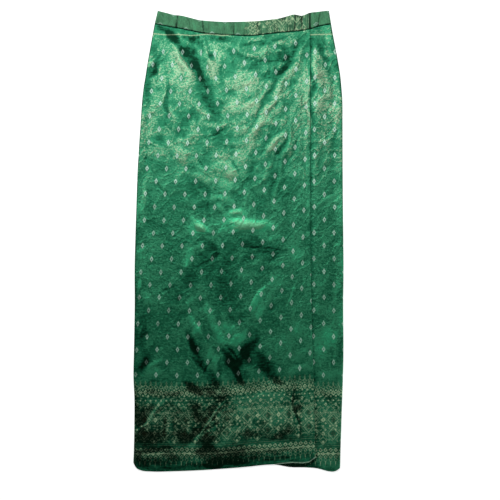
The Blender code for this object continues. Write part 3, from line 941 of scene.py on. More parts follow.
# The woven hem border, a row for each line of lozenges by its height above the hem. Hollow is the
# share of a lozenge left open in the middle.
BORDER_FIGURES = (
    Figure(188.0, 10.77, 0.0, 2.6, 6.0, 0.0, 0.22),
    Figure(180.0, 10.77, 0.0, 5.3, 6.0, 0.60, 0.42),
    Figure(174.0, 10.77, 0.5, 2.2, 2.6, 0.0, 0.70),
    Figure(168.0, 10.77, 0.0, 5.3, 6.2, 0.60, 0.95),
    Figure(168.0, 10.77, 0.0, 1.5, 1.8, 0.0, 0.90),
    Figure(161.5, 10.77, 0.5, 2.6, 3.0, 0.0, 0.70),
    Figure(152.0, 10.77, 0.0, 2.0, 2.2, 0.0, 1.00),
    Figure(143.5, 21.53, 0.25, 3.6, 4.4, 0.35, 0.85),
    Figure(137.0, 10.77, 0.0, 1.6, 2.0, 0.0, 0.70),
    Figure(131.0, 21.53, 0.75, 10.5, 11.0, 0.84, 0.65),
    Figure(126.0, 10.77, 0.5, 1.8, 2.2, 0.0, 0.75),
    Figure(120.0, 21.53, 0.25, 10.5, 11.0, 0.84, 0.65),
    Figure(110.5, 43.07, 0.0, 13.0, 15.0, 0.84, 0.80),
    Figure(110.5, 43.07, 0.5, 5.0, 6.5, 0.30, 0.90),
    Figure(110.5, 43.07, 0.0, 19.0, 21.0, 0.90, 0.55),
    Figure(103.0, 21.53, 0.25, 2.6, 3.2, 0.0, 0.85),
    Figure(97.0, 14.36, 0.5, 2.4, 3.0, 0.0, 0.90),
    Figure(89.0, 21.53, 0.25, 2.6, 3.2, 0.0, 0.80),
    Figure(81.0, 43.07, 0.0, 13.0, 15.0, 0.84, 0.80),
    Figure(81.0, 43.07, 0.5, 5.0, 6.5, 0.30, 0.80),
    Figure(81.0, 43.07, 0.0, 19.0, 21.0, 0.90, 0.50),
    Figure(66.0, 43.07, 0.5, 9.0, 10.0, 0.82, 0.70),
    Figure(63.0, 43.07, 0.5, 3.0, 3.8, 0.0, 1.00),
    Figure(45.5, 10.77, 0.5, 5.4, 5.2, 0.40, 0.74),
    Figure(37.5, 10.77, 0.0, 5.4, 5.2, 0.35, 0.80),
    Figure(30.5, 10.77, 0.5, 5.0, 4.6, 0.45, 0.50),
    Figure(24.0, 10.77, 0.5, 4.4, 6.0, 0.70, 0.42),
    Figure(17.0, 10.77, 0.5, 1.1, 6.5, 0.0, 0.55),
)
LARGE_ROWS = (110.5, 81.0)

# Grains of the silk by their size in millimetres
GRAIN = Noise(5.2, 4.2, 3.0, 1.0)
FLECK = Noise(3.0, 2.2, 2.0, 8.0)
SLUB = Noise(30.0, 2.6, 1.0, 2.0)
CLOUD = Noise(24.0, 24.0, 4.0, 3.0)
LONG_CREASES = Noise(30.0, 62.0, 2.0, 5.0)
SHORT_CREASES = Noise(22.0, 40.0, 2.0, 6.0)
WEB = Noise(13.0, 30.0, 2.0, 9.0)
CRUMPLE = Noise(18.0, 26.0, 2.0, 7.0)

# Softboxes over the skirt: place, aim and size in metres, and power as a share of the softbox's
LAMPS = (
    Lamp("softbox", (-0.2, 0.72, 1.3), (0.0, 0.05, 0.0), (0.9, 0.5), 1.0),
    Lamp("fill", (1.3, -0.3, 1.5), (0.1, -0.1, 0.0), (0.9, 1.4), 0.34),
)


class SinhSettings(bpy.types.PropertyGroup):
    """Sizes and colours that a user would change."""

    cloth_thick: FloatProperty(
        name="Silk thickness", description="Thickness of one layer of silk",
        default=0.5 * MM, min=0.2 * MM, max=1.0 * MM, unit="LENGTH",
    )
    fold_scale: FloatProperty(
        name="Fold height", description="Height of the laid folds against the table's",
        default=0.7, min=0.0, max=1.5, subtype="FACTOR",
    )
    crumple_height: FloatProperty(
        name="Crumple height", description="Height of the small crumpled facets",
        default=1.1 * MM, min=0.0, max=3.0 * MM, unit="LENGTH",
    )
    # Painted shade: the silk ground where the painted light is darkest. It also darkens the middles of the
    # small lozenges.
    deep_green: FloatVectorProperty(
        name="Deep green", description="Silk ground where it shows no floats",
        default=(0.0010, 0.022, 0.0095), size=3, min=0.0, max=1.0, subtype="COLOR",
    )
    silk_green: FloatVectorProperty(
        name="Silk green", description="Silk ground as it lies flat",
        default=(0.0070, 0.153, 0.070), size=3, min=0.0, max=1.0, subtype="COLOR",
    )
    # Painted highlight colour of the crushed silk towards the waist
    pale_green: FloatVectorProperty(
        name="Pale floats", description="Crushed silk where its floats catch the light",
        default=(0.290, 0.450, 0.275), size=3, min=0.0, max=1.0, subtype="COLOR",
    )
    # Painted highlight colour of the crushed silk lower down
    mint_green: FloatVectorProperty(
        name="Mint floats", description="The same floats lower down, where less of the warm light reaches",
        default=(0.150, 0.430, 0.230), size=3, min=0.0, max=1.0, subtype="COLOR",
    )
    bright_green: FloatVectorProperty(
        name="Bright green", description="Silk ground lower down where it leans most to the light",
        default=(0.040, 0.460, 0.215), size=3, min=0.0, max=1.0, subtype="COLOR",
    )
    lit_green: FloatVectorProperty(
        name="Lit green", description="Silk ground where it leans to the light",
        default=(0.040, 0.288, 0.142), size=3, min=0.0, max=1.0, subtype="COLOR",
    )
    gold: FloatVectorProperty(
        name="Figure thread", description="Pale gold thread of the border",
        default=(0.58, 0.80, 0.47), size=3, min=0.0, max=1.0, subtype="COLOR",
    )
    white_silk: FloatVectorProperty(
        name="Lozenge thread", description="Nearly white silk of the small lozenges",
        default=(0.64, 0.95, 0.78), size=3, min=0.0, max=1.0, subtype="COLOR",
    )
    reverse_silk: FloatVectorProperty(
        name="Silk reverse", description="Paler reverse of the cloth where the hem turns over",
        default=(0.62, 0.92, 0.68), size=3, min=0.0, max=1.0, subtype="COLOR",
    )
    band_green: FloatVectorProperty(
        name="Waistband green", description="Silk of the waistband, seen across its ribs",
        default=(0.070, 0.275, 0.130), size=3, min=0.0, max=1.0, subtype="COLOR",
    )
    camera_height: FloatProperty(
        name="Camera height", description="Height of the camera over the skirt",
        default=2.4, min=1.0, max=6.0, unit="LENGTH",
    )
    key_power: FloatProperty(
        name="Softbox power", description="Power of the softbox above the waist",
        default=10.5, min=0.0, max=200.0, unit="POWER",
    )


def settings():
    return bpy.context.scene.sinh_settings


def smooth_step(value):
    value = np.clip(value, 0.0, 1.0)
    return value * value * (3.0 - 2.0 * value)


def curve_value(keys, values, at):
    """Smooth curve through (key, value) pairs, held level past its ends."""
    keys = np.asarray(keys, float)
    values = np.asarray(values, float)
    slopes = np.diff(values) / np.diff(keys)
    tangents = np.concatenate([slopes[:1], 0.5 * (slopes[1:] + slopes[:-1]), slopes[-1:]])
    at = np.clip(at, keys[0], keys[-1])
    i = np.clip(np.searchsorted(keys, at, side="right") - 1, 0, len(keys) - 2)
    span = keys[i + 1] - keys[i]
    t = (at - keys[i]) / span
    start = tangents[i] * span
    end = tangents[i + 1] * span
    rise = values[i + 1] - values[i]
    return values[i] + t * (start + t * (3 * rise - 2 * start - end + t * (start + end - 2 * rise)))


def edge_y(edge, x):
    """Height of an edge at each place across."""
    return curve_value([row.x for row in edge], [row.y for row in edge], x)


def left_side(y):
    return curve_value([row.y for row in SIDES], [row.left for row in SIDES], y)


def right_side(y):
    return curve_value([row.y for row in SIDES], [row.right for row in SIDES], y)


def front_edge(y):
    return curve_value([row.y for row in FRONT_EDGE], [row.x for row in FRONT_EDGE], y)


def underlap_edge(y):
    return np.full_like(y, UNDERLAP_EDGE)


def wrap_hem(x):
    return edge_y(WRAP_HEM, x)


def under_hem(x):
    return edge_y(UNDER_HEM, x)


def back_hem(x):
    return edge_y(BACK_HEM, x)


def panel_top(x):
    return edge_y(BAND_FOOT, x) - SEAM_HALF_GAP


def band_foot(x):
    return edge_y(BAND_FOOT, x) + SEAM_HALF_GAP


def band_top(x):
    return edge_y(BAND_TOP, x)


def band_share(x, y):
    foot = band_foot(x)
    return np.clip((y - foot) / (band_top(x) - foot), 0.0, 1.0)


def waves(x, y, spacing, seed, count=7):
    """Smooth wandering numbers about zero: a sum of long sine waves in seeded directions."""
    chance = np.random.default_rng(seed)
    total = np.zeros_like(x)
    for _ in range(count):
        turn = chance.uniform(0.0, 2.0 * math.pi)
        length = spacing * chance.uniform(0.7, 1.6)
        phase = chance.uniform(0.0, 2.0 * math.pi)
        along = x * math.cos(turn) + y * math.sin(turn)
        total += np.sin(2.0 * math.pi * along / length + phase)
    return total / math.sqrt(count)


def wandered(x, y, reach, spacing, seeds):
    """The points moved by smooth waves, so that what is drawn on them bends."""
    return x + reach * waves(x, y, spacing, seeds[0]), y + reach * waves(x, y, spacing, seeds[1])


def facets(x, y, spacing, stretch, seed):
    """Crumpled facets, 0 to about 1: the distance to the nearest of many seeded points."""
    chance = np.random.default_rng(seed)
    nearest = np.full_like(x, 9.0)
    half_wide, half_tall = FACET_FIELD
    columns = np.arange(-half_wide, half_wide, spacing)
    rows = np.arange(-half_tall, half_tall, spacing * stretch)
    for column in columns:
        for row in rows:
            px = column + chance.uniform(-FACET_SHIFT, FACET_SHIFT) * spacing
            py = row + chance.uniform(-FACET_SHIFT, FACET_SHIFT) * spacing * stretch
            near = np.abs(x - px) < FACET_REACH * spacing
            near &= np.abs(y - py) < FACET_REACH * spacing * stretch
            if near.any():
                far = np.hypot((x[near] - px) / spacing, (y[near] - py) / (spacing * stretch))
                nearest[near] = np.minimum(nearest[near], far)
    return np.minimum(nearest, FACET_CAP)


def fold_field(folds, x, y):
    """Summed height and painted light of a table of folds at every point."""
    px, py = wandered(x, y, FOLD_WANDER, FOLD_WANDER_SPACING, FOLD_SEEDS)
    height = np.zeros_like(x)
    tone = np.zeros_like(x)
    for fold in folds:
        dx = fold.x2 - fold.x1
        dy = fold.y2 - fold.y1
        length = math.hypot(dx, dy)
        t = ((px - fold.x1) * dx + (py - fold.y1) * dy) / length**2
        inside = (t > 0.0) & (t < 1.0)
        share = np.where(t < fold.peak, 0.5 * t / fold.peak, 0.5 + 0.5 * (t - fold.peak) / (1 - fold.peak))
        fullness = np.where(inside, np.sin(math.pi * np.clip(share, 0.0, 1.0)), 0.0)
        bow = fold.bow * 4.0 * t * (1.0 - t)
        off = ((px - fold.x1) * dy - (py - fold.y1) * dx) / length + bow
        width = fold.half_width * (0.55 + 0.45 * fullness)
        across = np.clip(np.abs(off) / width, 0.0, 1.0)
        height += fold.height * fullness * (0.5 + 0.5 * np.cos(math.pi * across))
        tone += fold.tone * fullness**0.6 * smooth_step(1.25 * (1.0 - across))
    return height, tone


def patch_painted_light(x, y):
    """Summed painted light of the patches at every point: painted highlight above zero, painted shade below.
    """
    px, py = wandered(x, y, PATCH_WANDER, PATCH_WANDER_SPACING, PATCH_SEEDS)
    tone = np.zeros_like(x)
    for patch in PATCHES:
        turn = math.radians(patch.turn)
        along = (px - patch.x) * math.cos(turn) + (py - patch.y) * math.sin(turn)
        across = (py - patch.y) * math.cos(turn) - (px - patch.x) * math.sin(turn)
        reach = np.hypot(along / (1.25 * patch.half_long), across / (1.25 * patch.half_wide))
        tone += patch.tone * smooth_step(1.5 * (1.0 - reach))
    return tone


def hairlines(x, y, count, seed):
    """Fine creases, raised or sunk, short and slightly bowed, scattered by a seeded throw."""
    chance = np.random.default_rng(seed)
    total = np.zeros_like(x)
    for _ in range(count):
        cx = chance.uniform(*HAIR_X)
        cy = chance.uniform(*HAIR_Y)
        length = chance.uniform(*HAIR_LENGTH)
        turn = chance.normal(math.radians(HAIR_TURN[0]), math.radians(HAIR_TURN[1]))
        bow = chance.uniform(-HAIR_BOW, HAIR_BOW) * length
        height = chance.uniform(*HAIR_HEIGHT)
        ux, uy = math.cos(turn), math.sin(turn)
        near = (np.abs(x - cx) < 0.6 * length) & (np.abs(y - cy) < 0.6 * length)
        if not near.any():
            continue
        along = ((x[near] - cx) * ux + (y[near] - cy) * uy) / (0.5 * length)
        off = (x[near] - cx) * uy - (y[near] - cy) * ux - bow * (1.0 - along**2)
        fullness = np.clip(1.0 - along**2, 0.0, 1.0)
        total[near] += height * fullness * np.exp(-((off / HAIR_HALF_WIDE) ** 2))
    return total


def front_form(x, y):
    """Height in millimetres of the loose front cloth over what it lies on, and its painted light and shade.
    """
    s = settings()
    height, tone = fold_field(FOLDS, x, y)
    # The patches raise or sink the cloth a little and add their painted highlight or shade
    patches = patch_painted_light(x, y)
    height += PATCH_RISE * patches
    tone += patches
    crumple = facets(x, y, FACET_SPACING, 1.3, FACET_SEED) - FACET_MIDDLE
    small = facets(x, y, SMALL_FACET_SPACING, 1.2, SMALL_FACET_SEED) - FACET_MIDDLE
    rough = CALM_SHARE + (1.0 - CALM_SHARE) * smooth_step((y - CALM_END) / CALM_REACH)
    lift = FRONT_LOFT + s.fold_scale * height
    lift += s.crumple_height / MM * rough * (crumple + SMALL_FACET_SHARE * small)
    hair = hairlines(x, y, HAIR_COUNT, HAIR_SEED) * (0.45 + 0.55 * rough)
    lift += hair
    below_band = edge_y(BAND_FOOT, x) - y
    fade = smooth_step(below_band / BAND_BLEND)
    lift *= fade
    loose = 0.5 * (lift + np.sqrt(lift**2 + (fade * TROUGH_SOFTNESS) ** 2))
    # A painted shadow in a thin line along the waistband's foot
    seam_shade = 1.0 - smooth_step(below_band / SEAM_SHADE_REACH)
    # Painted light and shade on the crumpled facets, random patches of it from long waves, and on the fine
    # creases a painted highlight where raised and a painted shade where sunk
    tone = tone + CRUMPLE_TONE * rough * (0.4 - crumple) + WAVE_TONE * waves(x, y, 100.0, FRONT_TONE_SEED)
    return loose, tone - SEAM_SHADE_TONE * seam_shade + HAIR_TONE * hair


def side_loft(distance):
    return SIDE_LOFT * (1.0 - smooth_step(distance / SIDE_LOFT_REACH))


def layer_z(layer, wall):
    return layer * (wall + LAYER_GAP) + 0.5 * wall


def settled_z(x, wall):
    off = smooth_step((UNDERLAP_EDGE - SETTLE_START - x) / SETTLE_REACH)
    return layer_z(2, wall) + off * (layer_z(1, wall) - layer_z(2, wall))


def blended(x, y, panel_z, band_z):
    share = smooth_step((edge_y(BAND_FOOT, x) - y) / BAND_BLEND)
    return band_z + share * (panel_z - band_z)


def band_puff(x, share):
    """Height of the waistband as it puffs up between its creases, and its painted shade in the creases and
    along its foot.
    """
    pinch = np.zeros_like(x)
    for crease in BAND_CREASES:
        off = np.abs(x - crease.x - crease.slant * (share - 0.5)) / crease.half_width
        pinch += crease.depth * (0.5 + 0.5 * np.cos(math.pi * np.clip(off, 0.0, 1.0)))
    pinch = np.minimum(BAND_PUFF + 0.1, pinch)
    puff = BAND_PUFF + 0.25 * waves(x, 40.0 * share, 45.0, BAND_PUFF_SEED) - pinch
    # Painted shade in the creases and in a line along the band's foot
    tone = -0.95 * smooth_step(1.4 * pinch - 0.3) - 0.9 * smooth_step(1.0 - share * 16.0)
    # Random painted shading of small puckers
    tone += 0.22 * waves(x, 18.0 * share, 16.0, BAND_TONE_SEED)
    return puff * np.sin(math.pi * share) ** 1.2, tone


def standing_edge(x, y):
    """Lift of the wrap's free edge where it stands off the under front, and of its corner at the hem."""
    inward = front_edge(y) - x
    upper = smooth_step((y - EDGE_LIFT_FROM) / EDGE_LIFT_RISE)
    upper *= smooth_step((EDGE_LIFT_TO - y) / EDGE_LIFT_FALL)
    lift = EDGE_LIFT * upper * (1.0 - smooth_step(inward / EDGE_LIFT_REACH))
    near_hem = 1.0 - smooth_step((y - wrap_hem(x)) / CORNER_LIFT_REACH)
    return lift + CORNER_LIFT * (smooth_step((x - CORNER_LIFT_FROM) / CORNER_LIFT_RISE) * near_hem)


def wrap_form(x, y):
    loose, tone = front_form(x, y)
    # Painted shade along the roll of the left side seam, below about the middle
    tone -= 0.5 * (1.0 - smooth_step((x - left_side(y)) / 12.0)) * smooth_step((60.0 - y) / 80.0)
    flat = blended(x, y, settled_z(x, PANEL_WALL), settled_z(x, BAND_WALL))
    return flat + loose + standing_edge(x, y) + side_loft(x - left_side(y)), tone


def under_form(x, y):
    loose, tone = front_form(x, y)
    bare = smooth_step((x - front_edge(y)) / 14.0)
    # Painted shadow on the under front beside the wrap's free edge
    tone -= 0.5 * (1.0 - smooth_step((x - front_edge(y)) / 9.0))
    # Painted highlight along the roll of the right side seam, below its upper part
    tone += 0.4 * (1.0 - smooth_step((right_side(y) - x) / 22.0)) * smooth_step((320.0 - y) / 80.0)
    flat = blended(x, y, layer_z(1, PANEL_WALL), layer_z(1, BAND_WALL))
    return flat + bare * loose + side_loft(right_side(y) - x), tone


def back_form(x, y):
    height, tone = fold_field(BACK_FOLDS, x, y)
    inner = smooth_step((x - left_side(y)) / 14.0) * smooth_step((right_side(y) - x) / 14.0)
    fade = smooth_step((edge_y(BAND_FOOT, x) - y) / BAND_BLEND) * inner
    # Painted light of the back's creases, with random patches of it from long waves
    tone = tone + 0.2 * waves(x, y, 80.0, BACK_TONE_SEED)
    return 0.5 * settings().cloth_thick / MM + fade * np.maximum(height, 0.0), tone


def wrap_band_form(x, y):
    puff, tone = band_puff(x, band_share(x, y))
    # Painted shadow along the wrap band's free end
    tone -= 1.6 * (1.0 - smooth_step((front_edge(y) - x) / SEAM_SHADE_REACH))
    return settled_z(x, BAND_WALL) + puff + side_loft(x - left_side(y)), tone


def under_band_form(x, y):
    bare = smooth_step((x - front_edge(y)) / 8.0)
    puff, tone = band_puff(x, band_share(x, y))
    # Painted shadow on the under front's band beside the wrap band's end
    tone -= 1.2 * (1.0 - smooth_step((x - front_edge(y)) / 4.0))
    return layer_z(1, BAND_WALL) + bare * puff + side_loft(right_side(y) - x), tone


def back_band_form(x, y):
    return np.full_like(x, 0.5 * settings().cloth_thick / MM), np.zeros_like(x)


def wrap_uv(x, y):
    """Cloth coordinates of the wrap: its columns lean and its weft rises to the right."""
    ripple_seed, sway_seed, waist_seed = WRAP_UV_SEEDS
    lean = np.interp(x, [row.x for row in WRAP_LEAN], [row.slope for row in WRAP_LEAN])
    ripple = 0.6 * waves(x, y, 110.0, ripple_seed)
    near_waist = smooth_step((y - WAIST_SWAY_FROM) / WAIST_SWAY_BLEND)
    sway = 0.8 * waves(x, y, 120.0, sway_seed) + 1.5 * waves(x, y, 60.0, waist_seed) * near_waist
    taken_up = TAKEN_UP * np.clip((y - TAKEN_UP_FROM) / TAKEN_UP_REACH, 0.0, 1.2) ** 1.2
    right_of_fold = smooth_step((x - TAKEN_UP_LEFT) / TAKEN_UP_START)
    taken_up *= right_of_fold * np.clip((TAKEN_UP_RIGHT - x) / TAKEN_UP_FADE, 0.0, 1.0)
    off_x = (x - DRAGGED_AT[0]) / DRAGGED_SIZE[0]
    off_y = (y - DRAGGED_AT[1]) / DRAGGED_SIZE[1]
    dragged = DRAGGED * np.exp(-(off_x**2) - off_y**2)
    near_hem = np.clip((LEAN_BACK_TOP - y) / LEAN_BACK_TALL, 0.0, 1.0)
    leant_back = LEAN_BACK * near_hem * np.clip((LEAN_BACK_RIGHT - x) / LEAN_BACK_WIDE, 0.0, 1.0)
    above = smooth_step((y - BORDER_RISE_TOP) / RISE_BLEND)
    rise = above * edge_y(WEFT_RISE, x) + (1.0 - above) * edge_y(HEM_RISE, x)
    return x - lean * y + ripple + taken_up - leant_back, y - rise + sway + dragged


def under_uv(x, y):
    ripple = 0.4 * waves(x, y, 110.0, UNDER_UV_SEEDS[0])
    return x - UNDER_LEAN * y + UNDER_SHIFT + ripple, y + 0.5 * waves(x, y, 120.0, UNDER_UV_SEEDS[1])


def back_uv(x, y):
    return x + 0.5 * waves(x, y, 110.0, BACK_UV_SEEDS[0]), y + 0.5 * waves(x, y, 120.0, BACK_UV_SEEDS[1])


def main_band_uv(x, y):
    """The waistband is cut across the cloth: its length runs along v, into the border at the right."""
    return COLUMN_START + 0.5 * COLUMN_PITCH * (1.0 - band_share(x, y)), BAND_V - x


def under_band_uv(x, y):
    u = COLUMN_START + UNDER_BAND_TALL * (band_share(x, y) - UNDER_BAND_SHIFT)
    return u, UNDER_BAND_V - x


def turned_edge(x, y):
    """Where the wrap's hem turns over near its free corner and shows the paler reverse."""
    above_hem = y - wrap_hem(x)
    return smooth_step((x - 74.0) / 14.0) * (1.0 - smooth_step((above_hem - 0.9) / 0.9))


class Sheet:
    """A thin closed shell between a left and a right edge and a lower and an upper one.

    Across the sheet, 0 to 1 is the roll at a left side seam, 1 to 2 the flat and 2 to 3 the roll at a
    right side seam; a free edge has no roll. Along it, 0 is the lower edge and 1 the upper one.
    """

    def __init__(self, name, left, right, lower, upper, form, uv, rolls, seam_z, shows_reverse=False):
        self.name = name
        self.left = left
        self.right = right
        self.lower = lower
        self.upper = upper
        self.form = form
        self.uv = uv
        self.rolls = rolls
        self.seam_z = seam_z
        self.shows_reverse = shows_reverse

    def middle(self, across, along):
        """Middle surface: points, painted light and cloth coordinates on the grid of both places.

        The side edges depend on the height and the lower and upper ones on the place across, so a few
        rounds bring the two together, from a first guess of the height.
        """
        a, b = np.meshgrid(across, along)
        half_thick = 0.5 * settings().cloth_thick / MM
        y = b * 950.0 - 480.0
        x = np.zeros_like(a)
        turn = np.full_like(a, 0.5 * math.pi)
        for _ in range(EDGE_ROUNDS):
            left = self.left(y) + (half_thick if "left" in self.rolls else 0.0)
            right = self.right(y) - (half_thick if "right" in self.rolls else 0.0)
            flat_left = left + (SIDE_ROLL if "left" in self.rolls else 0.0)
            flat_right = right - (SIDE_ROLL if "right" in self.rolls else 0.0)
            turn = np.where(a < 1.0, 0.5 * math.pi * a, turn)
            turn = np.where(a > 2.0, 0.5 * math.pi * (3.0 - a), turn)
            x = flat_left + np.clip(a - 1.0, 0.0, 1.0) * (flat_right - flat_left)
            top_x = x
            x = np.where(a < 1.0, left + SIDE_ROLL * (1.0 - np.cos(turn)), x)
            x = np.where(a > 2.0, right - SIDE_ROLL * (1.0 - np.cos(turn)), x)
            low = self.lower(x)
            y = low + b * (self.upper(x) - low)
        height, tone = self.form(top_x, y)
        z = self.seam_z + (height - self.seam_z) * np.sin(turn)
        u, v = self.uv(x, y)
        return np.stack([x, y, z], axis=-1), tone, u, v


def rim_indices(rows, columns):
    """The outer ring of a grid of points, anticlockwise from its lower left corner."""
    ring = list(range(columns))
    ring += [j * columns + columns - 1 for j in range(1, rows)]
    ring += [(rows - 1) * columns + i for i in range(columns - 2, -1, -1)]
    ring += [j * columns for j in range(rows - 2, 0, -1)]
    return np.array(ring)


def edge_fineness(length, step, fine_low, fine_high):
    """Places from 0 to 1 along a length, a step apart, with finer ones at the edges that are free."""
    count = max(2, round(length / step))
    places = list(np.linspace(0.0, 1.0, count + 1)[1:-1])
    low = [d / length for d in EDGE_STEPS] if fine_low else [0.0]
    high = [1.0 - d / length for d in reversed(EDGE_STEPS)] if fine_high else [1.0]
    inner = [p for p in places if low[-1] + 0.3 * step / length < p < high[0] - 0.3 * step / length]
    return np.array(low + inner + high)


def across_places(sheet, flat_places):
    """Places across a sheet: its rolls at side seams, and the flat between them."""
    rolled = [i / ROLL_CELLS for i in range(ROLL_CELLS)]
    places = list(1.0 + np.asarray(flat_places))
    if "left" in sheet.rolls:
        places = rolled + places
    if "right" in sheet.rolls:
        places = places + [3.0 - r for r in reversed(rolled)]
    return np.array(places)


def shell_thickness(points, hems):
    """Thickness at every point: doubled at the hems, whose reach is given, and rounded off at their rims."""
    gaps = {
        "lower": points[..., 1] - points[:1, :, 1],
        "upper": points[-1:, :, 1] - points[..., 1],
        "left": points[..., 0] - points[:, :1, 0],
        "right": points[:, -1:, 0] - points[..., 0],
    }
    thick = np.full(points.shape[:2], settings().cloth_thick / MM)
    for side, reach in hems.items():
        thick *= 1.0 + HEM_DOUBLING * (1.0 - smooth_step((gaps[side] - reach) / HEM_STEP))
        round_over = np.clip(gaps[side] / RIM_ROUND, 0.0, 1.0)
        thick *= RIM_THICK + (1.0 - RIM_THICK) * np.sqrt(1.0 - (1.0 - round_over) ** 2)
    return thick


def shell_faces(rows, columns):
    """Faces of a closed shell over a grid: its top, its underside and the wall around its rim."""
    count = rows * columns
    grid = np.arange(count).reshape(rows, columns)
    quad = [grid[:-1, :-1], grid[:-1, 1:], grid[1:, 1:], grid[1:, :-1]]
    top = np.stack(quad, axis=-1).reshape(-1, 4)
    ring = rim_indices(rows, columns)
    after = np.roll(ring, -1)
    wall = np.stack([after, ring, ring + count, after + count], axis=-1)
    return np.concatenate([top, top[:, ::-1] + count, wall])


def paint_points(mesh, name, values):
    """Give both sides of the shell a number at each point, for its material to read."""
    layer = mesh.attributes.new(name, "FLOAT", "POINT")
    layer.data.foreach_set("value", np.tile(values.reshape(-1), 2))


def build_sheet(sheet, across, along, material, hems):
    """A closed shell about the sheet's middle, with its cloth coordinates, painted light, turned reverse and
    material.
    """
    points, tone, u, v = sheet.middle(across, along)
    normals = np.cross(np.gradient(points, axis=1), np.gradient(points, axis=0))
    normals /= np.linalg.norm(normals, axis=-1, keepdims=True)
    offset = normals * (0.5 * shell_thickness(points, hems)[..., None])
    outer = (points + offset).reshape(-1, 3)
    inner = (points - offset).reshape(-1, 3)
    inner[:, 2] = np.maximum(inner[:, 2], 0.0)
    faces = shell_faces(*points.shape[:2])
    mesh = bpy.data.meshes.new(sheet.name)
    mesh.from_pydata((np.concatenate([outer, inner]) * MM).tolist(), [], faces.tolist())
    layer = mesh.uv_layers.new(name="cloth")
    corner = np.zeros(len(mesh.loops), dtype=np.int32)
    mesh.loops.foreach_get("vertex_index", corner)
    flat_u = np.tile(u.reshape(-1), 2)[corner]
    flat_v = np.tile(v.reshape(-1), 2)[corner]
    layer.data.foreach_set("uv", np.stack([flat_u, flat_v], axis=-1).reshape(-1))
    turned = turned_edge(points[..., 0], points[..., 1]) if sheet.shows_reverse else np.zeros_like(tone)
    # The painted highlight and shade at each point, for the material to lay on the silk's colour
    paint_points(mesh, "tone", tone)
    paint_points(mesh, "reverse", turned)
    mesh.shade_smooth()
    mesh.validate()
    mesh.materials.append(material)
    obj = bpy.data.objects.new(sheet.name, mesh)
    bpy.context.scene.collection.objects.link(obj)
    return obj


def finish_piece(obj, node):
    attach(obj, "root")
    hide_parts(node)


class Term:
    """A number or colour in a node tree, so that sums of nodes read as sums."""

    def __init__(self, tree, socket):
        self.tree = tree
        self.socket = socket

    def math(self, operation, *others):
        node = self.tree.nodes.new("ShaderNodeMath")
        node.operation = operation
        for socket, value in zip(node.inputs, (self, *others)):
            feed(self.tree, value, socket)
        return Term(self.tree, node.outputs[0])

    def __add__(self, other):
        return self.math("ADD", other)

    def __sub__(self, other):
        return self.math("SUBTRACT", other)

    def __mul__(self, other):
        return self.math("MULTIPLY", other)

    def __truediv__(self, other):
        return self.math("DIVIDE", other)

    def largest(self, other):
        return self.math("MAXIMUM", other)

    def smallest(self, other):
        return self.math("MINIMUM", other)

    def ramp(self, start, end):
        """0 at start, 1 at end, smooth and clamped."""
        node = self.tree.nodes.new("ShaderNodeMapRange")
        node.interpolation_type = "SMOOTHSTEP"
        feed(self.tree, self, node.inputs["Value"])
        node.inputs["From Min"].default_value = min(start, end)
        node.inputs["From Max"].default_value = max(start, end)
        node.inputs["To Min"].default_value = 0.0 if start < end else 1.0
        node.inputs["To Max"].default_value = 1.0 if start < end else 0.0
        return Term(self.tree, node.outputs["Result"])

    def from_centre(self, pitch, shift):
        """Distance to the nearest of the lines a pitch apart."""
        turned = (self / pitch) + (0.5 - shift)
        return (turned.math("FRACT") - 0.5).math("ABSOLUTE") * pitch


def feed(tree, value, socket):
    if isinstance(value, Term):
        tree.links.new(value.socket, socket)
    else:
        socket.default_value = value


def blend_colours(tree, share, first, second):
    """The first colour where the share is 0, the second where it is 1."""
    node = tree.nodes.new("ShaderNodeMix")
    node.data_type = "RGBA"
    share_socket, first_socket, second_socket = node.inputs[0], node.inputs[6], node.inputs[7]
    feed(tree, share, share_socket)
    for value, socket in ((first, first_socket), (second, second_socket)):
        feed(tree, value if isinstance(value, Term) else (*value, 1.0), socket)
    return Term(tree, node.outputs[2])


def noise_of(tree, u, v, noise):
    """Noise about 0.5 with grains of the table's size."""
    place = tree.nodes.new("ShaderNodeCombineXYZ")
    feed(tree, u / noise.size_u, place.inputs[0])
    feed(tree, v / noise.size_v, place.inputs[1])
    place.inputs[2].default_value = noise.seed
    node = tree.nodes.new("ShaderNodeTexNoise")
    node.inputs["Scale"].default_value = 1.0
    node.inputs["Detail"].default_value = noise.detail
    tree.links.new(place.outputs[0], node.inputs["Vector"])
    return Term(tree, node.outputs["Fac"])


def ridged(tree, u, v, noise):
    """Thin crease lines, 1 along them and falling off steeply beside them."""
    lines = (noise_of(tree, u, v, noise) - 0.5).math("ABSOLUTE")
    return lines.ramp(0.055, 0.0)


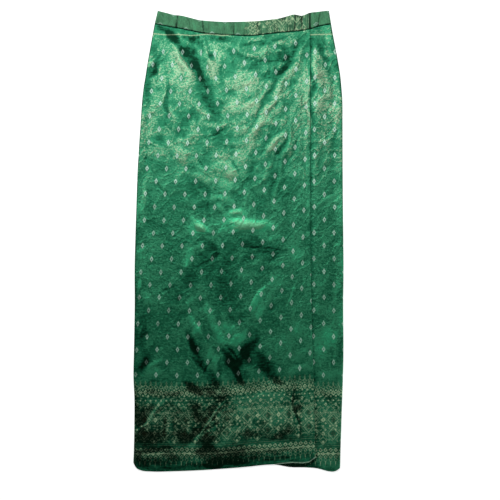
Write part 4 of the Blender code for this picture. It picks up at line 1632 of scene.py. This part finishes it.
class Weave:
    """The terms that a silk's material is worked out from: cloth coordinates, painted light and the turned
    reverse, and grains.
    """

    def __init__(self, tree):
        self.tree = tree
        uv = tree.nodes.new("ShaderNodeUVMap")
        uv.uv_map = "cloth"
        split = tree.nodes.new("ShaderNodeSeparateXYZ")
        tree.links.new(uv.outputs[0], split.inputs[0])
        self.u = Term(tree, split.outputs[0])
        self.v = Term(tree, split.outputs[1])
        self.above_hem = self.v - HEM_V
        # Painted highlight (above zero) and painted shade (below zero) carried by the mesh
        self.tone = self.painted("tone")
        self.reverse = self.painted("reverse")
        self.grain = noise_of(tree, self.u, self.v, GRAIN)
        self.fleck = noise_of(tree, self.u, self.v, FLECK)
        self.slub = noise_of(tree, self.u, self.v, SLUB)
        self.cloud = noise_of(tree, self.u, self.v, CLOUD)
        self.slant_u = self.u * SLANT_LONG - self.v * SLANT_SHORT
        self.slant_v = self.v * SLANT_LONG + self.u * SLANT_SHORT
        long_creases = ridged(tree, self.slant_u, self.slant_v, LONG_CREASES)
        short_creases = ridged(tree, self.slant_v, self.slant_u, SHORT_CREASES)
        self.crease = long_creases + short_creases * 0.6
        # How strongly the crumple shows, in the bump and in the painted light, growing towards the waist
        self.lively = self.v.ramp(-60.0, 260.0) * 0.75 + 0.25
        # Painted fall-off of the light: painted highlights and glints grow stronger towards the waist
        self.upper = self.v.ramp(-90.0, 290.0) * 0.75 + 0.25

    def painted(self, name):
        """A number that the mesh carries at its points."""
        node = self.tree.nodes.new("ShaderNodeAttribute")
        node.attribute_name = name
        return Term(self.tree, node.outputs["Fac"])


def lozenge(weave, off_v, pitch, shift, half_wide, half_tall):
    """0 in the middle of a lozenge, 1 on its outline, for a line of them a pitch apart."""
    off_u = (weave.u - COLUMN_START).from_centre(pitch, shift)
    return (off_u / half_wide) + (off_v / half_tall)


def drawn_lozenge(shape, hollow, weight):
    """The thread of a lozenge, left open in its middle where it is hollow."""
    body = shape.ramp(1.0, 0.82)
    if hollow > 0.0:
        body = body * shape.ramp(hollow - 0.12, hollow + 0.06)
    return body * weight


def border_mask(weave):
    """Gold figures and dark lozenge cores of the hem border, by height above the hem."""
    w = weave.above_hem
    gold = None
    for figure in BORDER_FIGURES:
        off = (w - figure.centre).math("ABSOLUTE")
        shape = lozenge(weave, off, figure.pitch, figure.shift, figure.half_wide, figure.half_tall)
        drawn = drawn_lozenge(shape, figure.hollow, figure.weight)
        gold = drawn if gold is None else gold.largest(drawn)
    line = (w - HEM_LINE).math("ABSOLUTE").ramp(1.6, 0.6)
    dashes = weave.u.from_centre(HEM_DASH_PITCH, 0.0).ramp(2.3, 1.5)
    gold = gold.largest(line * (dashes * 0.4 + 0.6))
    faint = w.from_centre(FAINT_LINE_PITCH, 0.0).ramp(1.0, 0.4) * w.ramp(49.0, 52.0) * w.ramp(61.0, 57.0)
    gold = gold.largest(faint * 0.22)
    dark = None
    for centre in LARGE_ROWS:
        off = (w - centre).math("ABSOLUTE")
        core = lozenge(weave, off, COLUMN_PITCH, 0.0, 7.5, 9.0).ramp(1.0, 0.8)
        dark = core if dark is None else dark.largest(core)
    return gold, dark


def field_mask(weave):
    """The small lozenges of the field: their pale outlines and their middles."""
    shape = None
    for shift in (0.0, 0.5):
        off = (weave.v - ROW_START).from_centre(ROW_PITCH, shift)
        column = lozenge(weave, off, COLUMN_PITCH, shift, MOTIF_HALF_WIDE, MOTIF_HALF_TALL)
        shape = column if shape is None else shape.smallest(column)
    border_top = HEM_V + BORDER_TALL
    field = weave.v.ramp(border_top + 2.0, border_top + 6.0) * weave.v.ramp(FIELD_TOP_V, FIELD_TOP_V - 4.0)
    outline = shape.ramp(1.0, 0.78) * shape.ramp(0.15, 0.42) * field
    middle = shape.ramp(0.4, 0.2) * field
    return outline, middle


def ground_colour(weave, mid, lit_colour, pale_colour):
    """The silk before its figures: its colour with its painted sheen, highlights and shade, and how far it
    is painted lit and how far painted deep.

    The weights were found by comparing renders with the photograph and by mean colours.
    """
    s = settings()
    tree = weave.tree
    grain = weave.grain - 0.5
    fleck = weave.fleck - 0.5
    slub = weave.slub - 0.5
    cloud = weave.cloud - 0.5
    upper = weave.upper
    in_border = weave.above_hem.ramp(192.0, 160.0)
    # Painted light from the mesh, with clouds and crease lines painted in more strongly towards the waist,
    # and the border kept darker
    shown = weave.tone + (cloud * 1.3 + weave.crease * 0.4) * weave.lively - 0.05 - in_border * 0.3
    # Grains that glint as painted sparkle where the painted light is high, more towards the waist
    speckle = (grain * 3.0 + fleck * 3.6) * (shown.ramp(-0.4, 0.9) * 1.3 + 0.3) * upper
    # Random mottling of the ground, stronger towards the hem
    mottle = (grain * 2.4 + fleck * 1.7 + slub * 0.8) * (upper * -1.0 + 1.3)
    # Painted sheen where the painted light is above zero, more lower down
    leaning = weave.tone.largest(0.0) * (upper * -0.8 + 0.8)
    # Thin dark lines of painted shade, stronger lower down
    web = ridged(tree, weave.slant_v, weave.slant_u, WEB) * (upper * -0.6 + 0.8)
    # How far the ground is painted lit, painted with a pale highlight, and painted in deep shade
    lit = (shown + leaning + speckle * 0.42 + mottle - web * 0.55).ramp(-0.50, 0.78)
    pale = (shown * 0.9 + speckle * 1.15 + upper * 0.9 - 0.9).ramp(0.2, 1.7) * (upper * 0.55 + 0.45)
    deep = (shown.largest(-1.75) + grain * 1.9 + slub * 1.2).ramp(0.0, -1.5)
    # Painted sheen in a brighter green on the lower part, above the border
    bright = (weave.tone + mottle * 0.4 + cloud * 0.8 - 0.12).ramp(0.0, 1.0)
    bright = bright * upper.ramp(1.0, 0.35) * weave.v.ramp(-330.0, -230.0)
    # Colour of the painted highlights: greener lower down, paler towards the waist
    painted_highlights = blend_colours(tree, upper.ramp(0.35, 0.95), s.mint_green, pale_colour)
    # The mid green painted over with sheen, brighter sheen, highlights and deep shade
    colour = blend_colours(tree, lit, mid, lit_colour)
    colour = blend_colours(tree, bright, colour, s.bright_green)
    colour = blend_colours(tree, pale, colour, painted_highlights)
    colour = blend_colours(tree, deep, colour, s.deep_green)
    return colour, lit, deep


def figured_colour(weave, ground, lit, deep, border_weight):
    """The silk with its woven figures: its colour, and how much of it is figure thread."""
    s = settings()
    tree = weave.tree
    w = weave.above_hem
    outline, middle = field_mask(weave)
    gold, dark = border_mask(weave)
    # Random breaks in the gold thread, with more of it showing where the painted light is high
    rubbed_and_sheen = (weave.fleck * 4.2 - 1.85 + weave.cloud * 1.1 + weave.tone * 0.25).smallest(1.25).largest(0.08)
    woven_line = (weave.v - WOVEN_LINE_V).math("ABSOLUTE").ramp(1.5, 0.8) * (weave.fleck * 1.7 - 0.25)
    figure = (gold * rubbed_and_sheen * border_weight).largest(woven_line).smallest(1.0)
    colour = blend_colours(tree, dark * 0.5, ground, DARK_BROWN)
    colour = blend_colours(tree, middle * 0.3, colour, s.deep_green)
    # Gold specks of the border, dimmed where the painted shade is deep
    speck = weave.grain.ramp(0.50, 0.70) * w.ramp(58.0, 66.0) * w.ramp(190.0, 176.0) * (border_weight * 0.4)
    colour = blend_colours(tree, speck * (deep * -0.8 + 1.0), colour, s.gold)
    # Gold figures, dimmed where the painted shade is deep
    colour = blend_colours(tree, figure * 0.95 * (deep * -0.68 + 1.0), colour, s.gold)
    # White outlines of the small lozenges, painted darker towards the hem and patchy at random, dimmed in
    # painted shade and brighter where painted lit
    lozenge_shade_and_cloud = (weave.v.ramp(-160.0, 260.0) * 0.5 + 0.5) * (weave.cloud * 1.5 + 0.2)
    outline_lit = outline * lozenge_shade_and_cloud * (deep * -0.6 + 1.0) * (lit * 0.4 + 0.7)
    colour = blend_colours(tree, outline_lit, colour, s.white_silk)
    return blend_colours(tree, weave.reverse, colour, s.reverse_silk), figure.largest(outline)


def relief_of(weave, figure):
    """Relief too fine for the mesh: creases, crumple, grains, figure thread and ribs."""
    crumple = noise_of(weave.tree, weave.slant_u, weave.slant_v, CRUMPLE)
    cloth = weave.crease * 0.45 + crumple * 0.9 * (weave.lively * 0.75 + 0.25)
    ribs = weave.v.from_centre(RIB_PITCH, 0.0) / (0.5 * RIB_PITCH)
    return cloth + weave.grain * 0.4 + weave.fleck * 0.3 + figure * 0.25 + ribs * 0.10


def brocade_material(name, ground_mid, ground_lit, ground_pale, border_weight, roughness, metallic):
    """Green silk with pale gold figures, woven by nodes in the cloth's own coordinates."""
    material = bpy.data.materials.new(name)
    material.use_nodes = True
    tree = material.node_tree
    shader = tree.nodes["Principled BSDF"]
    weave = Weave(tree)
    ground, lit, deep = ground_colour(weave, ground_mid, ground_lit, ground_pale)
    colour, figure = figured_colour(weave, ground, lit, deep, border_weight)
    dull = (weave.grain - 0.5) * 0.25 + figure * 0.12 + roughness
    shine = (figure * -0.7 + 1.0) * metallic + deep * 0.3
    bump = tree.nodes.new("ShaderNodeBump")
    bump.inputs["Strength"].default_value = 0.8
    bump.inputs["Distance"].default_value = 0.6 * MM
    feed(tree, relief_of(weave, figure), bump.inputs["Height"])
    feed(tree, colour, shader.inputs["Base Color"])
    feed(tree, dull, shader.inputs["Roughness"])
    feed(tree, shine, shader.inputs["Metallic"])
    tree.links.new(bump.outputs[0], shader.inputs["Normal"])
    shader.inputs["Sheen Weight"].default_value = 0.06
    shader.inputs["Sheen Roughness"].default_value = 0.45
    shader.inputs["Sheen Tint"].default_value = (0.35, 0.85, 0.55, 1.0)
    shader.inputs["Specular IOR Level"].default_value = 0.3
    return material


def panel_material():
    name = "green silk brocade"
    if name in bpy.data.materials:
        return bpy.data.materials[name]
    s = settings()
    return brocade_material(
        name, s.silk_green, s.lit_green, s.pale_green,
        border_weight=0.95, roughness=0.40, metallic=0.65,
    )


def band_material():
    name = "waistband silk brocade"
    if name in bpy.data.materials:
        return bpy.data.materials[name]
    s = settings()
    # A lighter copy of the waistband green, used for its painted sheen and painted highlights
    light = [min(1.0, 1.5 * c) for c in s.band_green]
    return brocade_material(
        name, s.band_green, light, light,
        border_weight=1.8, roughness=0.62, metallic=0.12,
    )


class SINH_OT_wrap_front(bpy.types.Operator):
    """Build the wrap front, with its folds, its turned hem and its free front edge"""

    bl_idname = "sinh.wrap_front"
    bl_label = "Wrap front"

    def execute(self, context):
        sheet = Sheet(
            "wrap_front_silk", left_side, front_edge, wrap_hem, panel_top,
            wrap_form, wrap_uv, ("left",), SIDE_SEAM_Z + SEAM_HALF_GAP, shows_reverse=True,
        )
        across = across_places(sheet, edge_fineness(WRAP_WIDE, SHOWN_STEP, False, True))
        along = edge_fineness(PANEL_TALL, SHOWN_STEP, True, False)
        obj = build_sheet(sheet, across, along, panel_material(), {"lower": HEM_TURN, "right": EDGE_TURN})
        finish_piece(obj, "wrap_front")
        return {"FINISHED"}


class SINH_OT_under_front(bpy.types.Operator):
    """Build the under front, the strip that shows right of the wrap and what runs in under it"""

    bl_idname = "sinh.under_front"
    bl_label = "Under front"

    def execute(self, context):
        sheet = Sheet(
            "under_front_silk", underlap_edge, right_side, under_hem, panel_top,
            under_form, under_uv, ("right",), SIDE_SEAM_Z + SEAM_HALF_GAP,
        )
        shown_wide = UNDER_WIDE - HIDDEN_WIDE
        hidden = edge_fineness(HIDDEN_WIDE, HIDDEN_STEP, True, False)[:-1] * HIDDEN_WIDE
        shown = HIDDEN_WIDE + edge_fineness(shown_wide, SHOWN_STEP, False, False) * shown_wide
        across = across_places(sheet, np.concatenate([hidden, shown]) / UNDER_WIDE)
        along = edge_fineness(UNDER_TALL, SHOWN_STEP, True, False)
        obj = build_sheet(sheet, across, along, panel_material(), {"lower": HEM_TURN, "left": EDGE_TURN})
        finish_piece(obj, "under_front")
        return {"FINISHED"}


class SINH_OT_back(bpy.types.Operator):
    """Build the back, flat on the surface that the skirt lies on"""

    bl_idname = "sinh.back"
    bl_label = "Back"

    def execute(self, context):
        sheet = Sheet(
            "back_silk", left_side, right_side, back_hem, panel_top,
            back_form, back_uv, ("left", "right"), SIDE_SEAM_Z - SEAM_HALF_GAP,
        )
        across = across_places(sheet, edge_fineness(BACK_WIDE, BACK_STEP, False, False))
        along = edge_fineness(PANEL_TALL, BACK_STEP, True, False)
        obj = build_sheet(sheet, across, along, panel_material(), {"lower": HEM_TURN})
        finish_piece(obj, "back")
        return {"FINISHED"}


# The waistband's pieces: the length is that of the strip that shows, in metres
BANDS = (
    Band(
        "waistband_wrap", left_side, front_edge, wrap_band_form, main_band_uv,
        ("left",), SIDE_SEAM_Z + SEAM_HALF_GAP, 0.335, ["waistband_under_silk", "waistband_back_silk"],
    ),
    Band(
        "waistband_under", underlap_edge, right_side, under_band_form, under_band_uv,
        ("right",), SIDE_SEAM_Z + SEAM_HALF_GAP, 0.190, ["waistband_back_silk"],
    ),
    Band(
        "waistband_back", left_side, right_side, back_band_form, main_band_uv,
        ("left", "right"), SIDE_SEAM_Z - SEAM_HALF_GAP, 0.385, ["floor"],
    ),
)


class SINH_OT_waistband(bpy.types.Operator):
    """Build the waistband over the wrap, over the under front and across the back"""

    bl_idname = "sinh.waistband"
    bl_label = "Waistband"

    def execute(self, context):
        for band in BANDS:
            sheet = Sheet(
                band.name + "_silk", band.left, band.right, band_foot, band_top,
                band.form, band.uv, band.rolls, band.seam_z,
            )
            across = across_places(sheet, edge_fineness(band.length / MM, BAND_STEP, False, False))
            along = edge_fineness(BAND_TALL, BAND_RISE_STEP, True, True)
            obj = build_sheet(sheet, across, along, band_material(), {"upper": BAND_TURN})
            finish_piece(obj, band.name)
        return {"FINISHED"}


class SINH_OT_stage(bpy.types.Operator):
    """Set the floor, the softbox, the fill and the overhead camera"""

    bl_idname = "sinh.stage"
    bl_label = "Stage"

    def execute(self, context):
        s = settings()
        scene = context.scene
        bpy.ops.mesh.primitive_plane_add(size=8.0, location=(0.0, 0.0, -0.0002))
        floor = context.object
        floor.name = "floor"
        floor.data.materials.append(floor_material())
        for lamp in LAMPS:
            add_softbox(lamp, s.key_power * lamp.share)
        world = bpy.data.worlds.new("studio")
        world.use_nodes = True
        background = world.node_tree.nodes["Background"]
        background.inputs["Color"].default_value = (0.95, 0.98, 1.0, 1.0)
        background.inputs["Strength"].default_value = 0.12
        scene.world = world
        camera = bpy.data.cameras.new("camera")
        camera.sensor_width = 36.0
        camera.lens = camera.sensor_width * s.camera_height / FRAME_WIDE
        camera.dof.use_dof = False
        holder = bpy.data.objects.new("camera", camera)
        holder.location = (FRAME_MIDDLE[0], FRAME_MIDDLE[1], s.camera_height)
        scene.collection.objects.link(holder)
        scene.camera = holder
        scene.view_settings.view_transform = "Standard"
        return {"FINISHED"}


def floor_material():
    """Matt white paper, lit through a little so that it stays pale away from the softbox."""
    material = bpy.data.materials.new("white paper floor")
    material.use_nodes = True
    shader = material.node_tree.nodes["Principled BSDF"]
    shader.inputs["Base Color"].default_value = (0.92, 0.92, 0.92, 1.0)
    shader.inputs["Roughness"].default_value = 0.9
    shader.inputs["Emission Color"].default_value = (1.0, 1.0, 1.0, 1.0)
    shader.inputs["Emission Strength"].default_value = 0.72
    return material


def add_softbox(lamp, power):
    light = bpy.data.lights.new(lamp.name, "AREA")
    light.shape = "RECTANGLE"
    light.size, light.size_y = lamp.size
    light.energy = power
    holder = bpy.data.objects.new(lamp.name, light)
    holder.location = lamp.place
    towards = Vector(lamp.aim) - Vector(lamp.place)
    holder.rotation_euler = towards.to_track_quat("-Z", "Y").to_euler()
    holder.visible_camera = False
    bpy.context.scene.collection.objects.link(holder)


class SINH_PT_panel(bpy.types.Panel):
    """Steps and sizes of the sinh"""

    bl_label = "Sinh"
    bl_idname = "SINH_PT_panel"
    bl_space_type = "VIEW_3D"
    bl_region_type = "UI"
    bl_category = "Sinh"

    def draw(self, context):
        for step in STEPS:
            self.layout.operator(step.bl_idname)
        for name in SinhSettings.__annotations__:
            self.layout.prop(context.scene.sinh_settings, name)


STEPS = (
    SINH_OT_stage,
    SINH_OT_back,
    SINH_OT_under_front,
    SINH_OT_wrap_front,
    SINH_OT_waistband,
)
CLASSES = (SinhSettings, *STEPS, SINH_PT_panel)


def register():
    for cls in CLASSES:
        bpy.utils.register_class(cls)
    bpy.types.Scene.sinh_settings = PointerProperty(type=SinhSettings)


def unregister():
    del bpy.types.Scene.sinh_settings
    for cls in reversed(CLASSES):
        bpy.utils.unregister_class(cls)


def main():
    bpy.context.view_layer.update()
    register()
    bpy.ops.sinh.stage()
    bpy.ops.sinh.back()
    bpy.ops.sinh.under_front()
    bpy.ops.sinh.wrap_front()
    bpy.ops.sinh.waistband()


if __name__ == "__main__":
    main()
